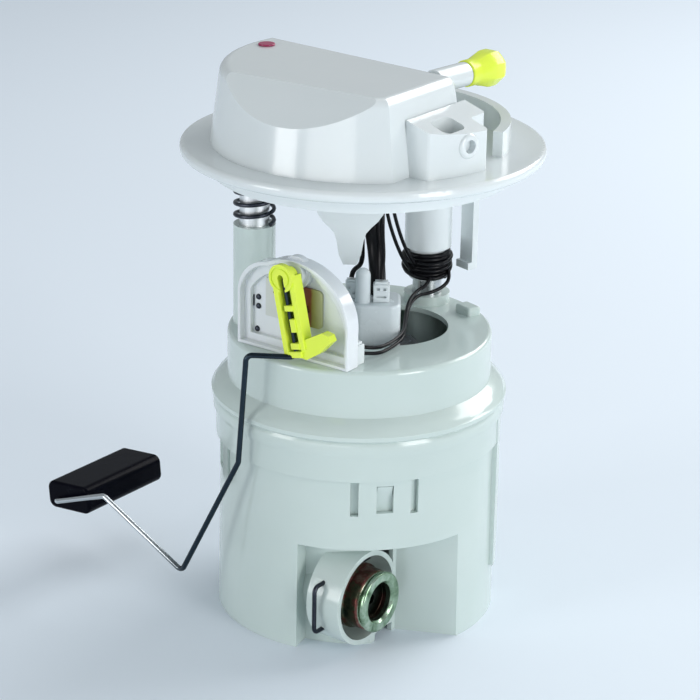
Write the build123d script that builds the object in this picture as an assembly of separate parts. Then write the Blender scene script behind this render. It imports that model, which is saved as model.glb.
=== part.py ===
from build123d import *
import math
import os

# A fuel pump module: a reservoir pot that stands on the tank's floor, a pump inside it, a level
# sender with its float, and a round flange with a filter housing that closes the tank.
# Origin: the middle of the pot, on the floor that it stands on. +Z is up, the pressure regulator
# points along +X and the level sender faces -Y. Lengths are in millimetres.

# Driving heights above the floor
POT_FLOOR_Z = 4.0
ARCH_Z = 45.0
SEAM_Z = 74.5
COVER_TOP_Z = 118.5
FLANGE_TOP_Z = 196.0
SKIRT_BOTTOM_Z = FLANGE_TOP_Z - 11.5
DOME_TOP_Z = FLANGE_TOP_Z + 31.0

# Pot and cover
WALL = 2.2
POT_R = 56.4
POT_FLARE_Z = 52.0
POT_FOOT_R = POT_R + 0.7
INNER_CUP_R = POT_R - 7.9
FLOOR_T = 2.4
ARCHES = ((-78.0, 70.0), (41.0, 35.0), (156.0, 60.0))
RIB_ANGLE = 24.0
RIB_HALF_ANGLE = 3.0
RIB_R = POT_R + 2.0
RIB_BOTTOM_Z = 20.0
VALVE_X = -31.0
VALVE_Y = 18.0
VALVE_STEM_R = 1.5
JET_Y = INNER_CUP_R - 16.5
JET_Z = POT_FLOOR_Z + FLOOR_T + 5.6
JET_R = 3.6
JET_BORE_R = 2.0
JET_START_X = -27.0
JET_END_X = 8.0
JET_SADDLE_W = 8.0
COVER_R = POT_R - 3.1
COVER_SKIRT_R = POT_R + 1.6
COLLAR_R = POT_R + 3.4
COLLAR_Z = SEAM_Z + 17.0
COLLAR_H = 3.2
BULGE_R = COVER_SKIRT_R + 1.1
COVER_SHOULDER_Z = SEAM_Z + 25.0
COVER_EDGE_R = 1.8
SKIRT_GAP = 0.2
INNER_SKIRT_H = 18.0
OPENING_X = 8.0
OPENING_Y = 8.0
OPENING_R = 24.5
LUG_X = 25.5
LUG_Y = 40.0
LUG_TURN = -17.0
LUG_W = 9.4
LUG_D = 6.4
LUG_H = 3.4
LUG_EDGE_R = 1.2

# Snap tongues: each is cut free in the pot's wall and catches a nose of the cover
SNAP_ANGLES = (-42.6, 47.4, 137.4, 227.4)
SNAP_SLOT_ANGLE = 12.3
SNAP_SLOT_W = 3.2
SNAP_SLOT_H = 15.0
SNAP_WINDOW_W = 6.8
SNAP_WINDOW_H = 11.5
SNAP_BRIDGE_H = 2.4
SNAP_NOSE_H = 8.0
SNAP_PLAY = 0.3

# Guides: the flange slides down on two rods against a spring
GUIDE_R = POT_R - 13.6
LEFT_GUIDE_ANGLE = 212.0
RIGHT_GUIDE_ANGLE = 86.0
ROD_R = 6.0
ROD_CHAMFER = 1.0
ROD_PLAY = 0.08
LEFT_TUBE_R = 8.5
LEFT_TUBE_TOP_Z = 160.0
RIGHT_TUBE_R = 8.5
RIGHT_TUBE_LIP_R = 9.5
RIGHT_TUBE_TOP_Z = 122.5
TUBE_BOTTOM_Z = 62.0
TUBE_FLOOR_T = 2.0
ROD_BOTTOM_Z = 98.0
LEFT_SPRING_R = 7.9
LEFT_SPRING_WIRE_R = 0.85
LEFT_SPRING_TURNS = 5.5
RIGHT_SPRING_R = 4.9
RIGHT_SPRING_WIRE_R = 0.7
RIGHT_SPRING_TURNS = 9.0
LEFT_BOSS_R = 10.5
LEFT_BOSS_Z = FLANGE_TOP_Z - 8.0
POST_X = -1.85
POST_Y = -5.06
POST_T = 4.6
POST_TURN = 36.0
POST_TIP_Z = FLANGE_TOP_Z - 50.0
RIGHT_COLUMN_R = 9.75
RIGHT_COLUMN_Z = FLANGE_TOP_Z - 53.5
RIGHT_NECK_R = 7.6
RIGHT_NECK_Z = FLANGE_TOP_Z - 67.0

# Pump and what carries it
PUMP_X = 6.0
PUMP_Y = 0.0
PUMP_R = 19.0
PUMP_WALL = 1.2
PUMP_BOTTOM_Z = 17.0
PUMP_TOP_Z = 100.0
BUCKET_GAP = 0.3
BUCKET_WALL = 1.5
BUCKET_H = 52.0
MOUNT_H = 5.0
INLET_H = 7.0
IMPELLER_R = 15.0
IMPELLER_H = 3.2
IMPELLER_BLADES = 24
SHAFT_R = 1.6
SHAFT_PLAY = 0.05
ARMATURE_R = 12.0
ARMATURE_SLOTS = 8
MAGNET_R = 13.2
END_CAP_BASE_H = 12.0
CAP_BLOCK_X = 11.6
CAP_BLOCK_Y = -5.2
CAP_BLOCK_HALF = 9.7
CAP_BLOCK_TURN = 36.0
CAP_BLOCK_CORNER_R = 4.5
CAP_BLOCK_PLAY = 1.2
CAP_BLOCK_TOP_Z = 134.0
TOWER_X = 9.6
TOWER_Y = -11.6
TOWER_R = 3.0
TOWER_TOP_Z = 148.0
NIPPLE_X = 8.44
NIPPLE_Y = -0.05
NIPPLE_R = 2.0
NIPPLE_H = 8.0
PLUG_RIGHT = (14.9, -6.4)
PLUG_RIGHT_SIZE = (6.4, 4.6, 8.4)
PLUG_LEFT = (2.7, -9.8)
PLUG_LEFT_SIZE = (4.8, 4.0, 7.6)

# Pressure regulator, on an axis along +X
REG_Y = 10.7 - INNER_CUP_R
REG_Z = 21.5
REG_MOUTH_X = 33.5
POCKET_END_ANGLE = -8.0
REG_HOLDER_R = 19.5
REG_HOLDER_WALL = 2.0
REG_HOLDER_BACK_X = 18.0
REG_SOCKET_R = 12.0
REG_SOCKET_X = 8.0
REG_NECK_R = 9.2
REG_SOCKET_PLAY = 0.4
REG_CAN_R = 13.3
REG_CAN_X = 25.8
REG_CAN_END_X = 37.6
REG_NOSE_R = 12.5
REG_NOSE_X = 40.5
REG_NOSE_HOLE_R = 7.7
CLIP_WIRE_R = 0.9
CLIP_PLAY = 0.1
CLIP_X = 24.0
CLIP_HALF_W = 9.9
CLIP_BACK_Y = -60.0
CLIP_TIP_Y = -24.0

# Level sender, facing -Y
HUB_X = 0.4
HUB_Z = 152.5
SENDER_BACK_Y = -38.5
SENDER_FRONT_Y = -45.6
SENDER_PLATE_T = 2.0
SENDER_RIM_T = 1.6
SENDER_POST_H = 14.0
SENDER_LEFT_X = -26.5
SENDER_RIGHT_X = 27.5
CARD_T = 1.0
CARD_RIGHT_X = 12.0
CARD_BOTTOM_Z = 131.0
CARD_TOP_Z = 146.5
TRACK_INNER_R = 13.8
TRACK_OUTER_R = 16.6
TRACK_T = 0.2
WIPER_GAP = 0.2
ARM_WIRE_R = 1.1
ARM_PLAY = 0.08
CARRIER_BACK_Y = -46.2
CARRIER_FRONT_Y = -53.0
CARRIER_HUB_R = 6.2
CARRIER_BAR_W = 8.8
CARRIER_BAR_SHIFT = 0.2
CARRIER_FAN = ((0.6, 17.0), (17.0, 10.2), (12.4, 4.9), (2.5, 0.3))
ARM_ALONG_Y = -50.6
ARM_FOOT_X = 7.4
ARM_FOOT_Z = 121.4
ARM_PLANE_Y = -62.2
ARM_BEND_R = 2.6

# Float
FLOAT_HINGE_X = -112.0
FLOAT_HINGE_Z = 31.3
FLOAT_W = 23.0
FLOAT_L = 47.0
FLOAT_H = 12.0
FLOAT_AHEAD = 6.4
FLOAT_BELOW = 4.4
FLOAT_FRONT_Y = -59.2
FLOAT_EDGE_R = 3.4
FLOAT_TILT = 5.0

# Flange
FLANGE_R = 72.0
FLANGE_T = 4.5
FLANGE_EDGE_R = 1.9
SKIRT_R = 60.0
SKIRT_T = 2.6
STRAP_ANGLE = 74.0
STRAP_W = 7.6
STRAP_T = 2.4
STRAP_HOOK = 4.4
STRAP_HOOK_H = 3.0
RING_WALL_R = 57.6
RING_WALL_T = 4.0
RING_WALL_TOP_Z = FLANGE_TOP_Z + 10.0
RING_WALL_START = 14.0
RING_WALL_END = 162.0

# Filter housing cover
DOME_BASE_R = 60.0
DOME_TAPER = 7.3
DOME_WALL = 2.4
DOME_BACK_Y = 12.2
DOME_BACK_TURN = -3.7
DOME_RIGHT_X = 43.8
DOME_SHOULDER_R = 4.0
DOME_CORNER_R = 5.0
BEVEL_LEFT = (-34.8, -44.4)
BEVEL_RIGHT = (39.0, -40.6)
BEVEL_SLOPE = 41.0
MARKER_X = -46.6
MARKER_Y = -2.3
MARKER_R = 3.4
MARKER_H = 0.8
FILTER_X = -5.0
FILTER_Y = -19.0
FILTER_OUTER_R = 25.0
FILTER_INNER_R = 18.5
FILTER_PLEATS = 36
FILTER_H = 19.0

# Connector block beside the dome: its top slopes down from the dome's wall to the flange's rim
BLOCK_R = 60.2
BLOCK_FRONT_Y = -30.5
BLOCK_BACK_Y = 8.0
BLOCK_RIM_END_Y = -2.5
BLOCK_INNER_X = 51.5
BLOCK_WALL_Z = FLANGE_TOP_Z + 21.0
BLOCK_RIM_Z = FLANGE_TOP_Z + 15.5
BLOCK_EDGE_R = 1.6
MOUTH_X = 51.2
MOUTH_Y = -17.0
MOUTH_W = 9.0
MOUTH_L = 13.0
MOUTH_FLOOR_Z = FLANGE_TOP_Z + 5.5
PIN_COUNT = 2
JACK_ANGLE = -13.0
JACK_Z = FLANGE_TOP_Z + 11.0
JACK_R = 5.0
JACK_BORE_R = 2.6
JACK_REACH = 61.2

# Outlet spigot and its transport cap: they point along +Y, turned a little towards +X
SPIGOT_X = 30.6
SPIGOT_Z = DOME_TOP_Z - 4.2
SPIGOT_TURN = -6.0
SPIGOT_BASE_R = 4.8
SPIGOT_TIP_R = 3.95
SPIGOT_BORE_R = 2.6
SPIGOT_BASE_Y = 23.8
SPIGOT_ROOT = 18.0
SPIGOT_LENGTH = 15.0
CAP_PLAY = 0.1
CAP_NECK_R = 5.3
CAP_FLARE_R = 7.4
CAP_LENGTH = 19.5

# Hose and leads between the pump, the sender and the flange
HOSE_R = 3.3
HOSE_TOP_X = -1.23
HOSE_TOP_Y = 7.14
PUMP_LEAD_R = 1.0
SENDER_LEAD_R = 0.9
LEAD_GAP = 0.1
PLUG_GAP = 0.5
PUMP_LEAD_RIGHT_ROUTE = (
    (5.77, 5.67), (5.72, 5.4, 176.0), (6.4, 5.14, 165.0), (8.28, 2.56, 158.0), (12.29, -1.94, 151.5),
    (14.2, -5.25, 146.4))
PUMP_LEAD_LEFT_ROUTE = (
    (-0.82, 1.13), (-1.03, 0.74, 176.0), (-0.53, 0.73, 162.0), (-0.44, 1.29, 153.0), (0.72, 0.03, 144.6),
    (2.3, -8.9, 144.8))
SENDER_LEAD_A_UPPER = (
    (-0.5, 13.0), (-0.2, 13.8, 176.0), (0.6, 16.5, 161.0), (1.2, 21.5, 149.0),
    (1.6, 27.6, 138.9), (2.0, 31.9, 134.0))
SENDER_LEAD_B_UPPER = (
    (1.6, 14.4), (1.9, 15.2, 177.0), (2.6, 18.0, 162.5), (3.1, 23.0, 150.5),
    (3.5, 28.2, 141.5), (3.9, 31.9, 137.3))
SENDER_LEAD_A_LOWER = (
    (13.6, 42.6, 133.5), (15.6, 40.9, 130.7), (14.6, 37.0, 127.8), (11.5, 32.0, 126.0), (9.7, 26.2, 126.3),
    (10.8, 19.0, 124.3), (14.5, 12.0, 122.2), (18.25, 5.85, 121.0), (25.3, -5.1, 120.6), (26.6, -12.8, 120.0),
    (27.1, -18.6, 119.9), (27.3, -24.0, 120.0), (25.0, -29.2, 120.8))
SENDER_LEAD_B_LOWER = (
    (9.9, 34.6, 131.5), (10.7, 31.0, 129.2), (9.7, 26.0, 128.5), (10.9, 18.6, 126.5), (14.6, 11.6, 124.4),
    (18.35, 5.5, 123.2), (25.4, -5.4, 122.8), (26.7, -13.1, 122.2), (27.2, -18.9, 122.1), (27.0, -24.3, 122.3),
    (24.6, -29.3, 123.2))
SENDER_PLUG_X = 22.6
SENDER_PLUG_SIZE = (8.0, 5.4, 9.0)


def polar(radius, angle_deg, z=0.0):
    """Point at a radius and an angle about the pot's axis."""
    a = math.radians(angle_deg)
    return (radius * math.cos(a), radius * math.sin(a), z)


def upright(radius, bottom, top, x=0.0, y=0.0):
    """Upright cylinder between two heights."""
    return Pos(x, y, bottom) * Cylinder(radius, top - bottom, align=(Align.CENTER, Align.CENTER, Align.MIN))


def tube(outer_r, inner_r, bottom, top, x=0.0, y=0.0):
    """Upright tube between two heights."""
    return upright(outer_r, bottom, top, x, y) - upright(inner_r, bottom - 1, top + 1, x, y)


def block(x0, x1, y0, y1, z0, z1):
    """Box between two corners."""
    return Pos((x0 + x1) / 2, (y0 + y1) / 2, (z0 + z1) / 2) * Box(x1 - x0, y1 - y0, z1 - z0)


def turned(points):
    """Solid turned about the Z axis from a closed outline of (radius, height) points."""
    face = make_face(Polyline(*[(r, 0, z) for r, z in points], close=True))
    return revolve(face, Axis.Z, 360)


def sector(inner_r, outer_r, start, size, bottom, top):
    """Part of an upright ring, from a start angle over a size in degrees."""
    outline = make_face(Polyline(
        (inner_r, 0, bottom), (outer_r, 0, bottom), (outer_r, 0, top), (inner_r, 0, top), close=True))
    return Rot(0, 0, start) * revolve(outline, Axis.Z, size)


def along_x(radius, x0, x1, y, z):
    """Cylinder along X between two ends."""
    bar = Cylinder(radius, x1 - x0, align=(Align.CENTER, Align.CENTER, Align.MIN))
    return Pos(x0, y, z) * Rot(0, 90, 0) * bar


def along_y(radius, y0, y1, x, z):
    """Cylinder along Y between two ends."""
    bar = Cylinder(radius, y1 - y0, align=(Align.CENTER, Align.CENTER, Align.MIN))
    return Pos(x, y0, z) * Rot(-90, 0, 0) * bar


def wire(points, radius, bends):
    """Round wire along straight runs joined by tangent arcs."""
    path = FilletPolyline(*points, radius=bends)
    start = Plane(origin=path @ 0, z_dir=path % 0)
    return sweep(start * Circle(radius), path=path)


def open_bends(points):
    """Largest bend radius at each inner point: 0.45 of the shorter run over tan(half the turn)."""
    radii = []
    for before, here, after in zip(points, points[1:], points[2:]):
        run_in = Vector(*here) - Vector(*before)
        run_out = Vector(*after) - Vector(*here)
        half_turn = math.radians(run_in.get_angle(run_out)) / 2
        radii.append(0.45 * min(run_in.length, run_out.length) / math.tan(half_turn))
    return radii


def coil(radius, wire_r, turns, bottom, top, x, y):
    """Compression spring between two seats."""
    height = top - bottom - 2 * wire_r
    path = Edge.make_helix(height / turns, height, radius)
    start = Plane(origin=path @ 0, z_dir=path % 0)
    return Pos(x, y, bottom + wire_r) * sweep(start * Circle(wire_r), path=path, is_frenet=True)


def guide(angle):
    """Plan position of a guide rod."""
    x, y, _ = polar(GUIDE_R, angle)
    return x, y


def pocket(bottom, top, reach):
    """Room in front of the regulator's holder: open to the front, with a slanted side to the next foot."""
    end_x, end_y, _ = polar(POT_R, POCKET_END_ANGLE)
    side_y = REG_Y + REG_HOLDER_R
    outline = make_face(Polyline(
        (REG_MOUTH_X, -reach), (REG_MOUTH_X, side_y), (end_x, end_y), (reach, end_y), (reach, -reach), close=True))
    return Pos(0, 0, bottom) * extrude(outline, top - bottom)


def pocket_side():
    """Slanted wall between the regulator's holder and the next foot."""
    end_x, end_y, _ = polar(POT_R, POCKET_END_ANGLE)
    side_y = REG_Y + REG_HOLDER_R
    wall = make_face(Polyline(
        (REG_MOUTH_X - WALL, side_y - WALL), (REG_MOUTH_X, side_y - WALL), (REG_MOUTH_X, side_y), (end_x, end_y),
        (end_x - WALL, end_y + WALL), (REG_MOUTH_X - WALL, side_y + WALL), close=True))
    return extrude(wall, ARCH_Z + WALL)


def reservoir_pot():
    """Lower pot: wall cut into three feet by arches, inner cup, snap tongues and regulator holder."""
    floor_top = POT_FLOOR_Z + FLOOR_T
    roof = ARCH_Z + WALL
    inner = POT_R - WALL
    wall = turned([
        (POT_FOOT_R - WALL, 0), (POT_FOOT_R, 0), (POT_R, POT_FLARE_Z), (POT_R, SEAM_Z), (inner, SEAM_Z),
        (inner, POT_FLARE_Z)])
    wall += sector(inner + 1, RIB_R, RIB_ANGLE - RIB_HALF_ANGLE, 2 * RIB_HALF_ANGLE, RIB_BOTTOM_Z, SEAM_Z)
    for start, size in ARCHES:
        wall -= sector(INNER_CUP_R, RIB_R + 1, start, size, -1, ARCH_Z)
    cup = turned([
        (0, POT_FLOOR_Z), (INNER_CUP_R - WALL, POT_FLOOR_Z), (INNER_CUP_R - WALL, 0), (INNER_CUP_R, 0),
        (INNER_CUP_R, ARCH_Z), (POT_R - WALL / 2, ARCH_Z), (POT_R - WALL / 2, roof), (INNER_CUP_R - WALL, roof),
        (INNER_CUP_R - WALL, floor_top), (0, floor_top)])
    pot = wall + cup
    for start, size in ARCHES:
        side = math.degrees(WALL / POT_R)
        for at in (start - side, start + size):
            web = Rot(0, 0, at) * revolve(make_face(Polyline(
                (INNER_CUP_R - 1, 0, 0), (POT_R - WALL / 2, 0, 0), (POT_R - WALL / 2, 0, ARCH_Z + 1),
                (INNER_CUP_R - 1, 0, ARCH_Z + 1), close=True)), Axis.Z, side)
            pot += web
    pot += along_x(REG_HOLDER_R, REG_HOLDER_BACK_X, REG_MOUTH_X, REG_Y, REG_Z)
    pot += along_x(REG_SOCKET_R, REG_SOCKET_X, REG_HOLDER_BACK_X + 1, REG_Y, REG_Z)
    reach = POT_R + 10
    pot -= pocket(-1, ARCH_Z, reach)
    pot += pocket(ARCH_Z, roof, reach) & upright(POT_R - WALL / 2, 0, roof)
    pot += pocket_side()
    pot -= along_x(REG_HOLDER_R - REG_HOLDER_WALL, REG_HOLDER_BACK_X + WALL, REG_MOUTH_X + 1, REG_Y, REG_Z)
    pot -= along_x(REG_NECK_R + REG_SOCKET_PLAY, REG_SOCKET_X + WALL, REG_HOLDER_BACK_X + 4, REG_Y, REG_Z)
    for side_z in (-CLIP_HALF_W, CLIP_HALF_W):
        pot -= along_y(CLIP_WIRE_R + CLIP_PLAY, CLIP_BACK_Y, REG_Y, CLIP_X, REG_Z + side_z)
    for angle in SNAP_ANGLES:
        for slot in (-SNAP_SLOT_ANGLE, SNAP_SLOT_ANGLE):
            pot -= Rot(0, 0, angle + slot) * block(
                inner - 1, RIB_R + 1, -SNAP_SLOT_W / 2, SNAP_SLOT_W / 2, SEAM_Z - SNAP_SLOT_H, SEAM_Z + 1)
        pot -= Rot(0, 0, angle) * block(
            inner - 1, RIB_R + 1, -SNAP_WINDOW_W / 2, SNAP_WINDOW_W / 2,
            SEAM_Z - SNAP_BRIDGE_H - SNAP_WINDOW_H, SEAM_Z - SNAP_BRIDGE_H)
    pot -= upright(VALVE_STEM_R + 0.1, POT_FLOOR_Z - 1, floor_top + 1, VALVE_X, VALVE_Y)
    return pot


def reservoir_cover():
    """Upper pot: top with the pump opening, collar, skirt with snap noses and the guide tubes."""
    inner_top = COVER_R - WALL
    inner_skirt = COVER_SKIRT_R - WALL
    collar_top = COLLAR_Z + COLLAR_H
    slope_top = COVER_SHOULDER_Z - 3
    shell = turned([
        (0, COVER_TOP_Z), (COVER_R, COVER_TOP_Z), (COVER_R, COVER_SHOULDER_Z), (COVER_SKIRT_R, slope_top),
        (COLLAR_R - 0.8, collar_top), (COLLAR_R, collar_top - 0.8), (COLLAR_R, COLLAR_Z + 0.8),
        (COLLAR_R - 0.8, COLLAR_Z), (COVER_SKIRT_R, COLLAR_Z), (BULGE_R, COLLAR_Z - 1.6), (BULGE_R, COLLAR_Z - 5.2),
        (COVER_SKIRT_R, COLLAR_Z - 7.0), (COVER_SKIRT_R, SEAM_Z),
        (inner_skirt, SEAM_Z), (inner_skirt, slope_top - 1), (inner_top, COVER_SHOULDER_Z - 1),
        (inner_top, COVER_TOP_Z - WALL), (0, COVER_TOP_Z - WALL)])
    top_edge = shell.edges().filter_by(GeomType.CIRCLE).filter_by(lambda e: abs(e.radius - COVER_R) < 0.01)
    shell = fillet(top_edge.sort_by(Axis.Z)[-1], COVER_EDGE_R)
    plug_r = POT_R - WALL - SKIRT_GAP
    shell += tube(plug_r, plug_r - WALL, SEAM_Z - INNER_SKIRT_H, SEAM_Z)
    shell += tube(inner_skirt + 0.5, plug_r - WALL, SEAM_Z, SEAM_Z + WALL)
    nose_top = SEAM_Z - SNAP_BRIDGE_H - SNAP_PLAY
    half = SNAP_WINDOW_W / 2 - SNAP_PLAY
    for angle in SNAP_ANGLES:
        wedge = make_face(Polyline(
            (plug_r - 1, 0, nose_top), (POT_R - SNAP_PLAY, 0, nose_top), (plug_r - 1, 0, nose_top - SNAP_NOSE_H),
            close=True))
        shell += Rot(0, 0, angle) * Pos(0, half, 0) * extrude(wedge, 2 * half, dir=(0, -1, 0))
    shell += sector(COVER_SKIRT_R - 1, RIB_R, RIB_ANGLE - RIB_HALF_ANGLE, 2 * RIB_HALF_ANGLE, SEAM_Z, COLLAR_Z)
    left_x, left_y = guide(LEFT_GUIDE_ANGLE)
    right_x, right_y = guide(RIGHT_GUIDE_ANGLE)
    shell += upright(LEFT_TUBE_R, TUBE_BOTTOM_Z, LEFT_TUBE_TOP_Z, left_x, left_y)
    shell += upright(RIGHT_TUBE_R, TUBE_BOTTOM_Z, RIGHT_TUBE_TOP_Z, right_x, right_y)
    shell += upright(RIGHT_TUBE_LIP_R, COVER_TOP_Z - WALL, RIGHT_TUBE_TOP_Z, right_x, right_y)
    shell += Pos(LUG_X, LUG_Y, 0) * Rot(0, 0, LUG_TURN) * fillet(
        block(-LUG_W / 2, LUG_W / 2, -LUG_D / 2, LUG_D / 2, COVER_TOP_Z - 1, COVER_TOP_Z + LUG_H)
        .edges().filter_by(lambda e: e.center().Z > COVER_TOP_Z), LUG_EDGE_R)
    shell -= upright(OPENING_R, COVER_TOP_Z - 2 * WALL, COVER_TOP_Z + 9, OPENING_X, OPENING_Y)
    block_reach = CAP_BLOCK_HALF * math.sqrt(2) - CAP_BLOCK_CORNER_R * (math.sqrt(2) - 1) + CAP_BLOCK_PLAY
    shell -= upright(block_reach, COVER_TOP_Z - 2 * WALL, COVER_TOP_Z + 1, CAP_BLOCK_X, CAP_BLOCK_Y)
    bore_r = ROD_R + ROD_PLAY
    bore_bottom = TUBE_BOTTOM_Z + TUBE_FLOOR_T
    shell -= upright(bore_r, bore_bottom, LEFT_TUBE_TOP_Z + 1, left_x, left_y)
    shell -= upright(bore_r, bore_bottom, RIGHT_TUBE_TOP_Z + 1, right_x, right_y)
    for post_x in (SENDER_LEFT_X + 9.0, SENDER_RIGHT_X - 13.0):
        post_top = COVER_TOP_Z + SENDER_POST_H
        shell += block(post_x - 3, post_x + 3, SENDER_BACK_Y, SENDER_BACK_Y + 3, COVER_TOP_Z - 1, post_top)
    return shell


def pump_bucket():
    """Open sleeve that stands on the pot's floor and holds the pump upright."""
    inner = PUMP_R + BUCKET_GAP
    bottom = POT_FLOOR_Z + FLOOR_T
    sleeve = tube(inner + BUCKET_WALL, inner, bottom, bottom + BUCKET_H, PUMP_X, PUMP_Y)
    ledge_top = PUMP_BOTTOM_Z - MOUNT_H
    sleeve += tube(inner + 0.5, inner - 4, ledge_top - 2, ledge_top, PUMP_X, PUMP_Y)
    for angle in (30.0, 150.0, 270.0):
        window = Rot(0, 0, angle) * block(inner - 6, inner + 6, -6, 6, bottom - 1, ledge_top - 2.5)
        sleeve -= Pos(PUMP_X, PUMP_Y, 0) * window
    return sleeve


def pump_mount():
    """Rubber ring between the bucket's ledge and the pump."""
    top = PUMP_BOTTOM_Z
    return tube(PUMP_R, PUMP_R - 4.5, top - MOUNT_H, top, PUMP_X, PUMP_Y)


def pump_casing():
    """Drawn steel can of the pump, open at both ends."""
    return tube(PUMP_R, PUMP_R - PUMP_WALL, PUMP_BOTTOM_Z, PUMP_TOP_Z, PUMP_X, PUMP_Y)


def pump_inlet():
    """Inlet cover with its port and the lower shaft bearing."""
    inner = PUMP_R - PUMP_WALL
    cover = upright(inner, PUMP_BOTTOM_Z, PUMP_BOTTOM_Z + INLET_H, PUMP_X, PUMP_Y)
    cover += upright(5.0, PUMP_BOTTOM_Z - 4, PUMP_BOTTOM_Z, PUMP_X - 7, PUMP_Y)
    cover -= upright(3.2, PUMP_BOTTOM_Z - 6, PUMP_BOTTOM_Z + INLET_H + 1, PUMP_X - 7, PUMP_Y)
    cover -= upright(SHAFT_R + SHAFT_PLAY, PUMP_BOTTOM_Z + 2, PUMP_BOTTOM_Z + INLET_H + 1, PUMP_X, PUMP_Y)
    return cover


def pump_magnets():
    """Two magnet shells inside the can."""
    inner = PUMP_R - PUMP_WALL
    shells = []
    for start in (15.0, 195.0):
        shell = sector(MAGNET_R, inner, start, 150.0, PUMP_BOTTOM_Z + 16, PUMP_BOTTOM_Z + 62)
        shells.append(Pos(PUMP_X, PUMP_Y, 0) * shell)
    return Compound(children=shells)


def pump_impeller():
    """Side channel impeller with its blade slots."""
    bottom = PUMP_BOTTOM_Z + INLET_H + 0.4
    disc = upright(IMPELLER_R, bottom, bottom + IMPELLER_H)
    slots = [
        Rot(0, 0, k * 360 / IMPELLER_BLADES) * block(
            IMPELLER_R - 3.0, IMPELLER_R + 1, -0.7, 0.7, bottom - 1, bottom + IMPELLER_H + 1)
        for k in range(IMPELLER_BLADES)]
    disc -= slots
    disc -= upright(SHAFT_R, bottom - 1, bottom + IMPELLER_H + 1)
    return Pos(PUMP_X, PUMP_Y, 0) * disc


def pump_rotor():
    """Shaft with the slotted armature and the commutator."""
    low = PUMP_BOTTOM_Z + 2.5
    rotor = upright(SHAFT_R, low, PUMP_TOP_Z - 2)
    armature = upright(ARMATURE_R, PUMP_BOTTOM_Z + 18, PUMP_BOTTOM_Z + 58)
    armature -= [
        Rot(0, 0, k * 360 / ARMATURE_SLOTS) * block(
            ARMATURE_R - 5, ARMATURE_R + 1, -0.9, 0.9, PUMP_BOTTOM_Z + 17, PUMP_BOTTOM_Z + 59)
        for k in range(ARMATURE_SLOTS)]
    rotor += armature
    rotor += upright(8.0, PUMP_BOTTOM_Z + 62, PUMP_BOTTOM_Z + 68)
    return Pos(PUMP_X, PUMP_Y, 0) * rotor


def pump_end_cap():
    """Plastic end cap: base in the can, the block that stands through the cover, tower and nipple."""
    inner = PUMP_R - PUMP_WALL
    cap = upright(inner, PUMP_TOP_Z - 8, PUMP_TOP_Z, PUMP_X, PUMP_Y)
    cap += upright(PUMP_R, PUMP_TOP_Z, PUMP_TOP_Z + END_CAP_BASE_H, PUMP_X, PUMP_Y)
    body_bottom = PUMP_TOP_Z + END_CAP_BASE_H - 2
    body = Pos(CAP_BLOCK_X, CAP_BLOCK_Y, (body_bottom + CAP_BLOCK_TOP_Z) / 2) * Rot(0, 0, CAP_BLOCK_TURN) * Box(
        2 * CAP_BLOCK_HALF, 2 * CAP_BLOCK_HALF, CAP_BLOCK_TOP_Z - body_bottom)
    body = fillet(body.edges().filter_by(Axis.Z), CAP_BLOCK_CORNER_R)
    body = fillet(body.faces().sort_by(Axis.Z)[-1].edges(), 1.2)
    cap += body
    shelf_w, shelf_d, _ = PLUG_LEFT_SIZE
    cap += Pos(PLUG_LEFT[0], PLUG_LEFT[1], CAP_BLOCK_TOP_Z - 3) * Rot(0, 0, CAP_BLOCK_TURN) * Box(
        shelf_w + 1, shelf_d + 1, 6)
    tower = upright(TOWER_R, PUMP_TOP_Z + 5, TOWER_TOP_Z - TOWER_R, TOWER_X, TOWER_Y)
    tower += Pos(TOWER_X, TOWER_Y, TOWER_TOP_Z - TOWER_R) * Sphere(TOWER_R)
    cap += tower
    cap += upright(NIPPLE_R, CAP_BLOCK_TOP_Z - 1, CAP_BLOCK_TOP_Z + NIPPLE_H, NIPPLE_X, NIPPLE_Y)
    cap -= upright(SHAFT_R + SHAFT_PLAY, PUMP_TOP_Z - 9, PUMP_TOP_Z - 1, PUMP_X, PUMP_Y)
    return cap


def inlet_strainer():
    """Woven strainer pad on the floor under the pump."""
    bottom = POT_FLOOR_Z + FLOOR_T
    pad = Pos(PUMP_X - 5, PUMP_Y, bottom + 1.7) * Box(17, 13, 3.0)
    pad = fillet(pad.edges(), 1.3)
    pad += tube(5.0, 3.0, bottom + 2.8, PUMP_BOTTOM_Z - 4, PUMP_X - 7, PUMP_Y)
    return pad


def inlet_valve():
    """Rubber umbrella valve in the pot's floor."""
    floor_top = POT_FLOOR_Z + FLOOR_T
    stem = upright(VALVE_STEM_R, POT_FLOOR_Z - 1.5, floor_top + 1, VALVE_X, VALVE_Y)
    return stem + upright(6.0, floor_top, floor_top + 1.2, VALVE_X, VALVE_Y)


def jet_pump():
    """Jet pump in the pot that draws fuel from the tank."""
    floor_top = POT_FLOOR_Z + FLOOR_T
    front = JET_Y - JET_R
    back = JET_Y + JET_R
    body = along_x(JET_R, JET_START_X, JET_END_X, JET_Y, JET_Z)
    for saddle_x in (JET_START_X + 4, JET_END_X - 10):
        body += block(saddle_x, saddle_x + JET_SADDLE_W, front, back, floor_top, JET_Z)
    body -= along_x(JET_BORE_R, JET_START_X + 2, JET_END_X + 1, JET_Y, JET_Z)
    return body


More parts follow.
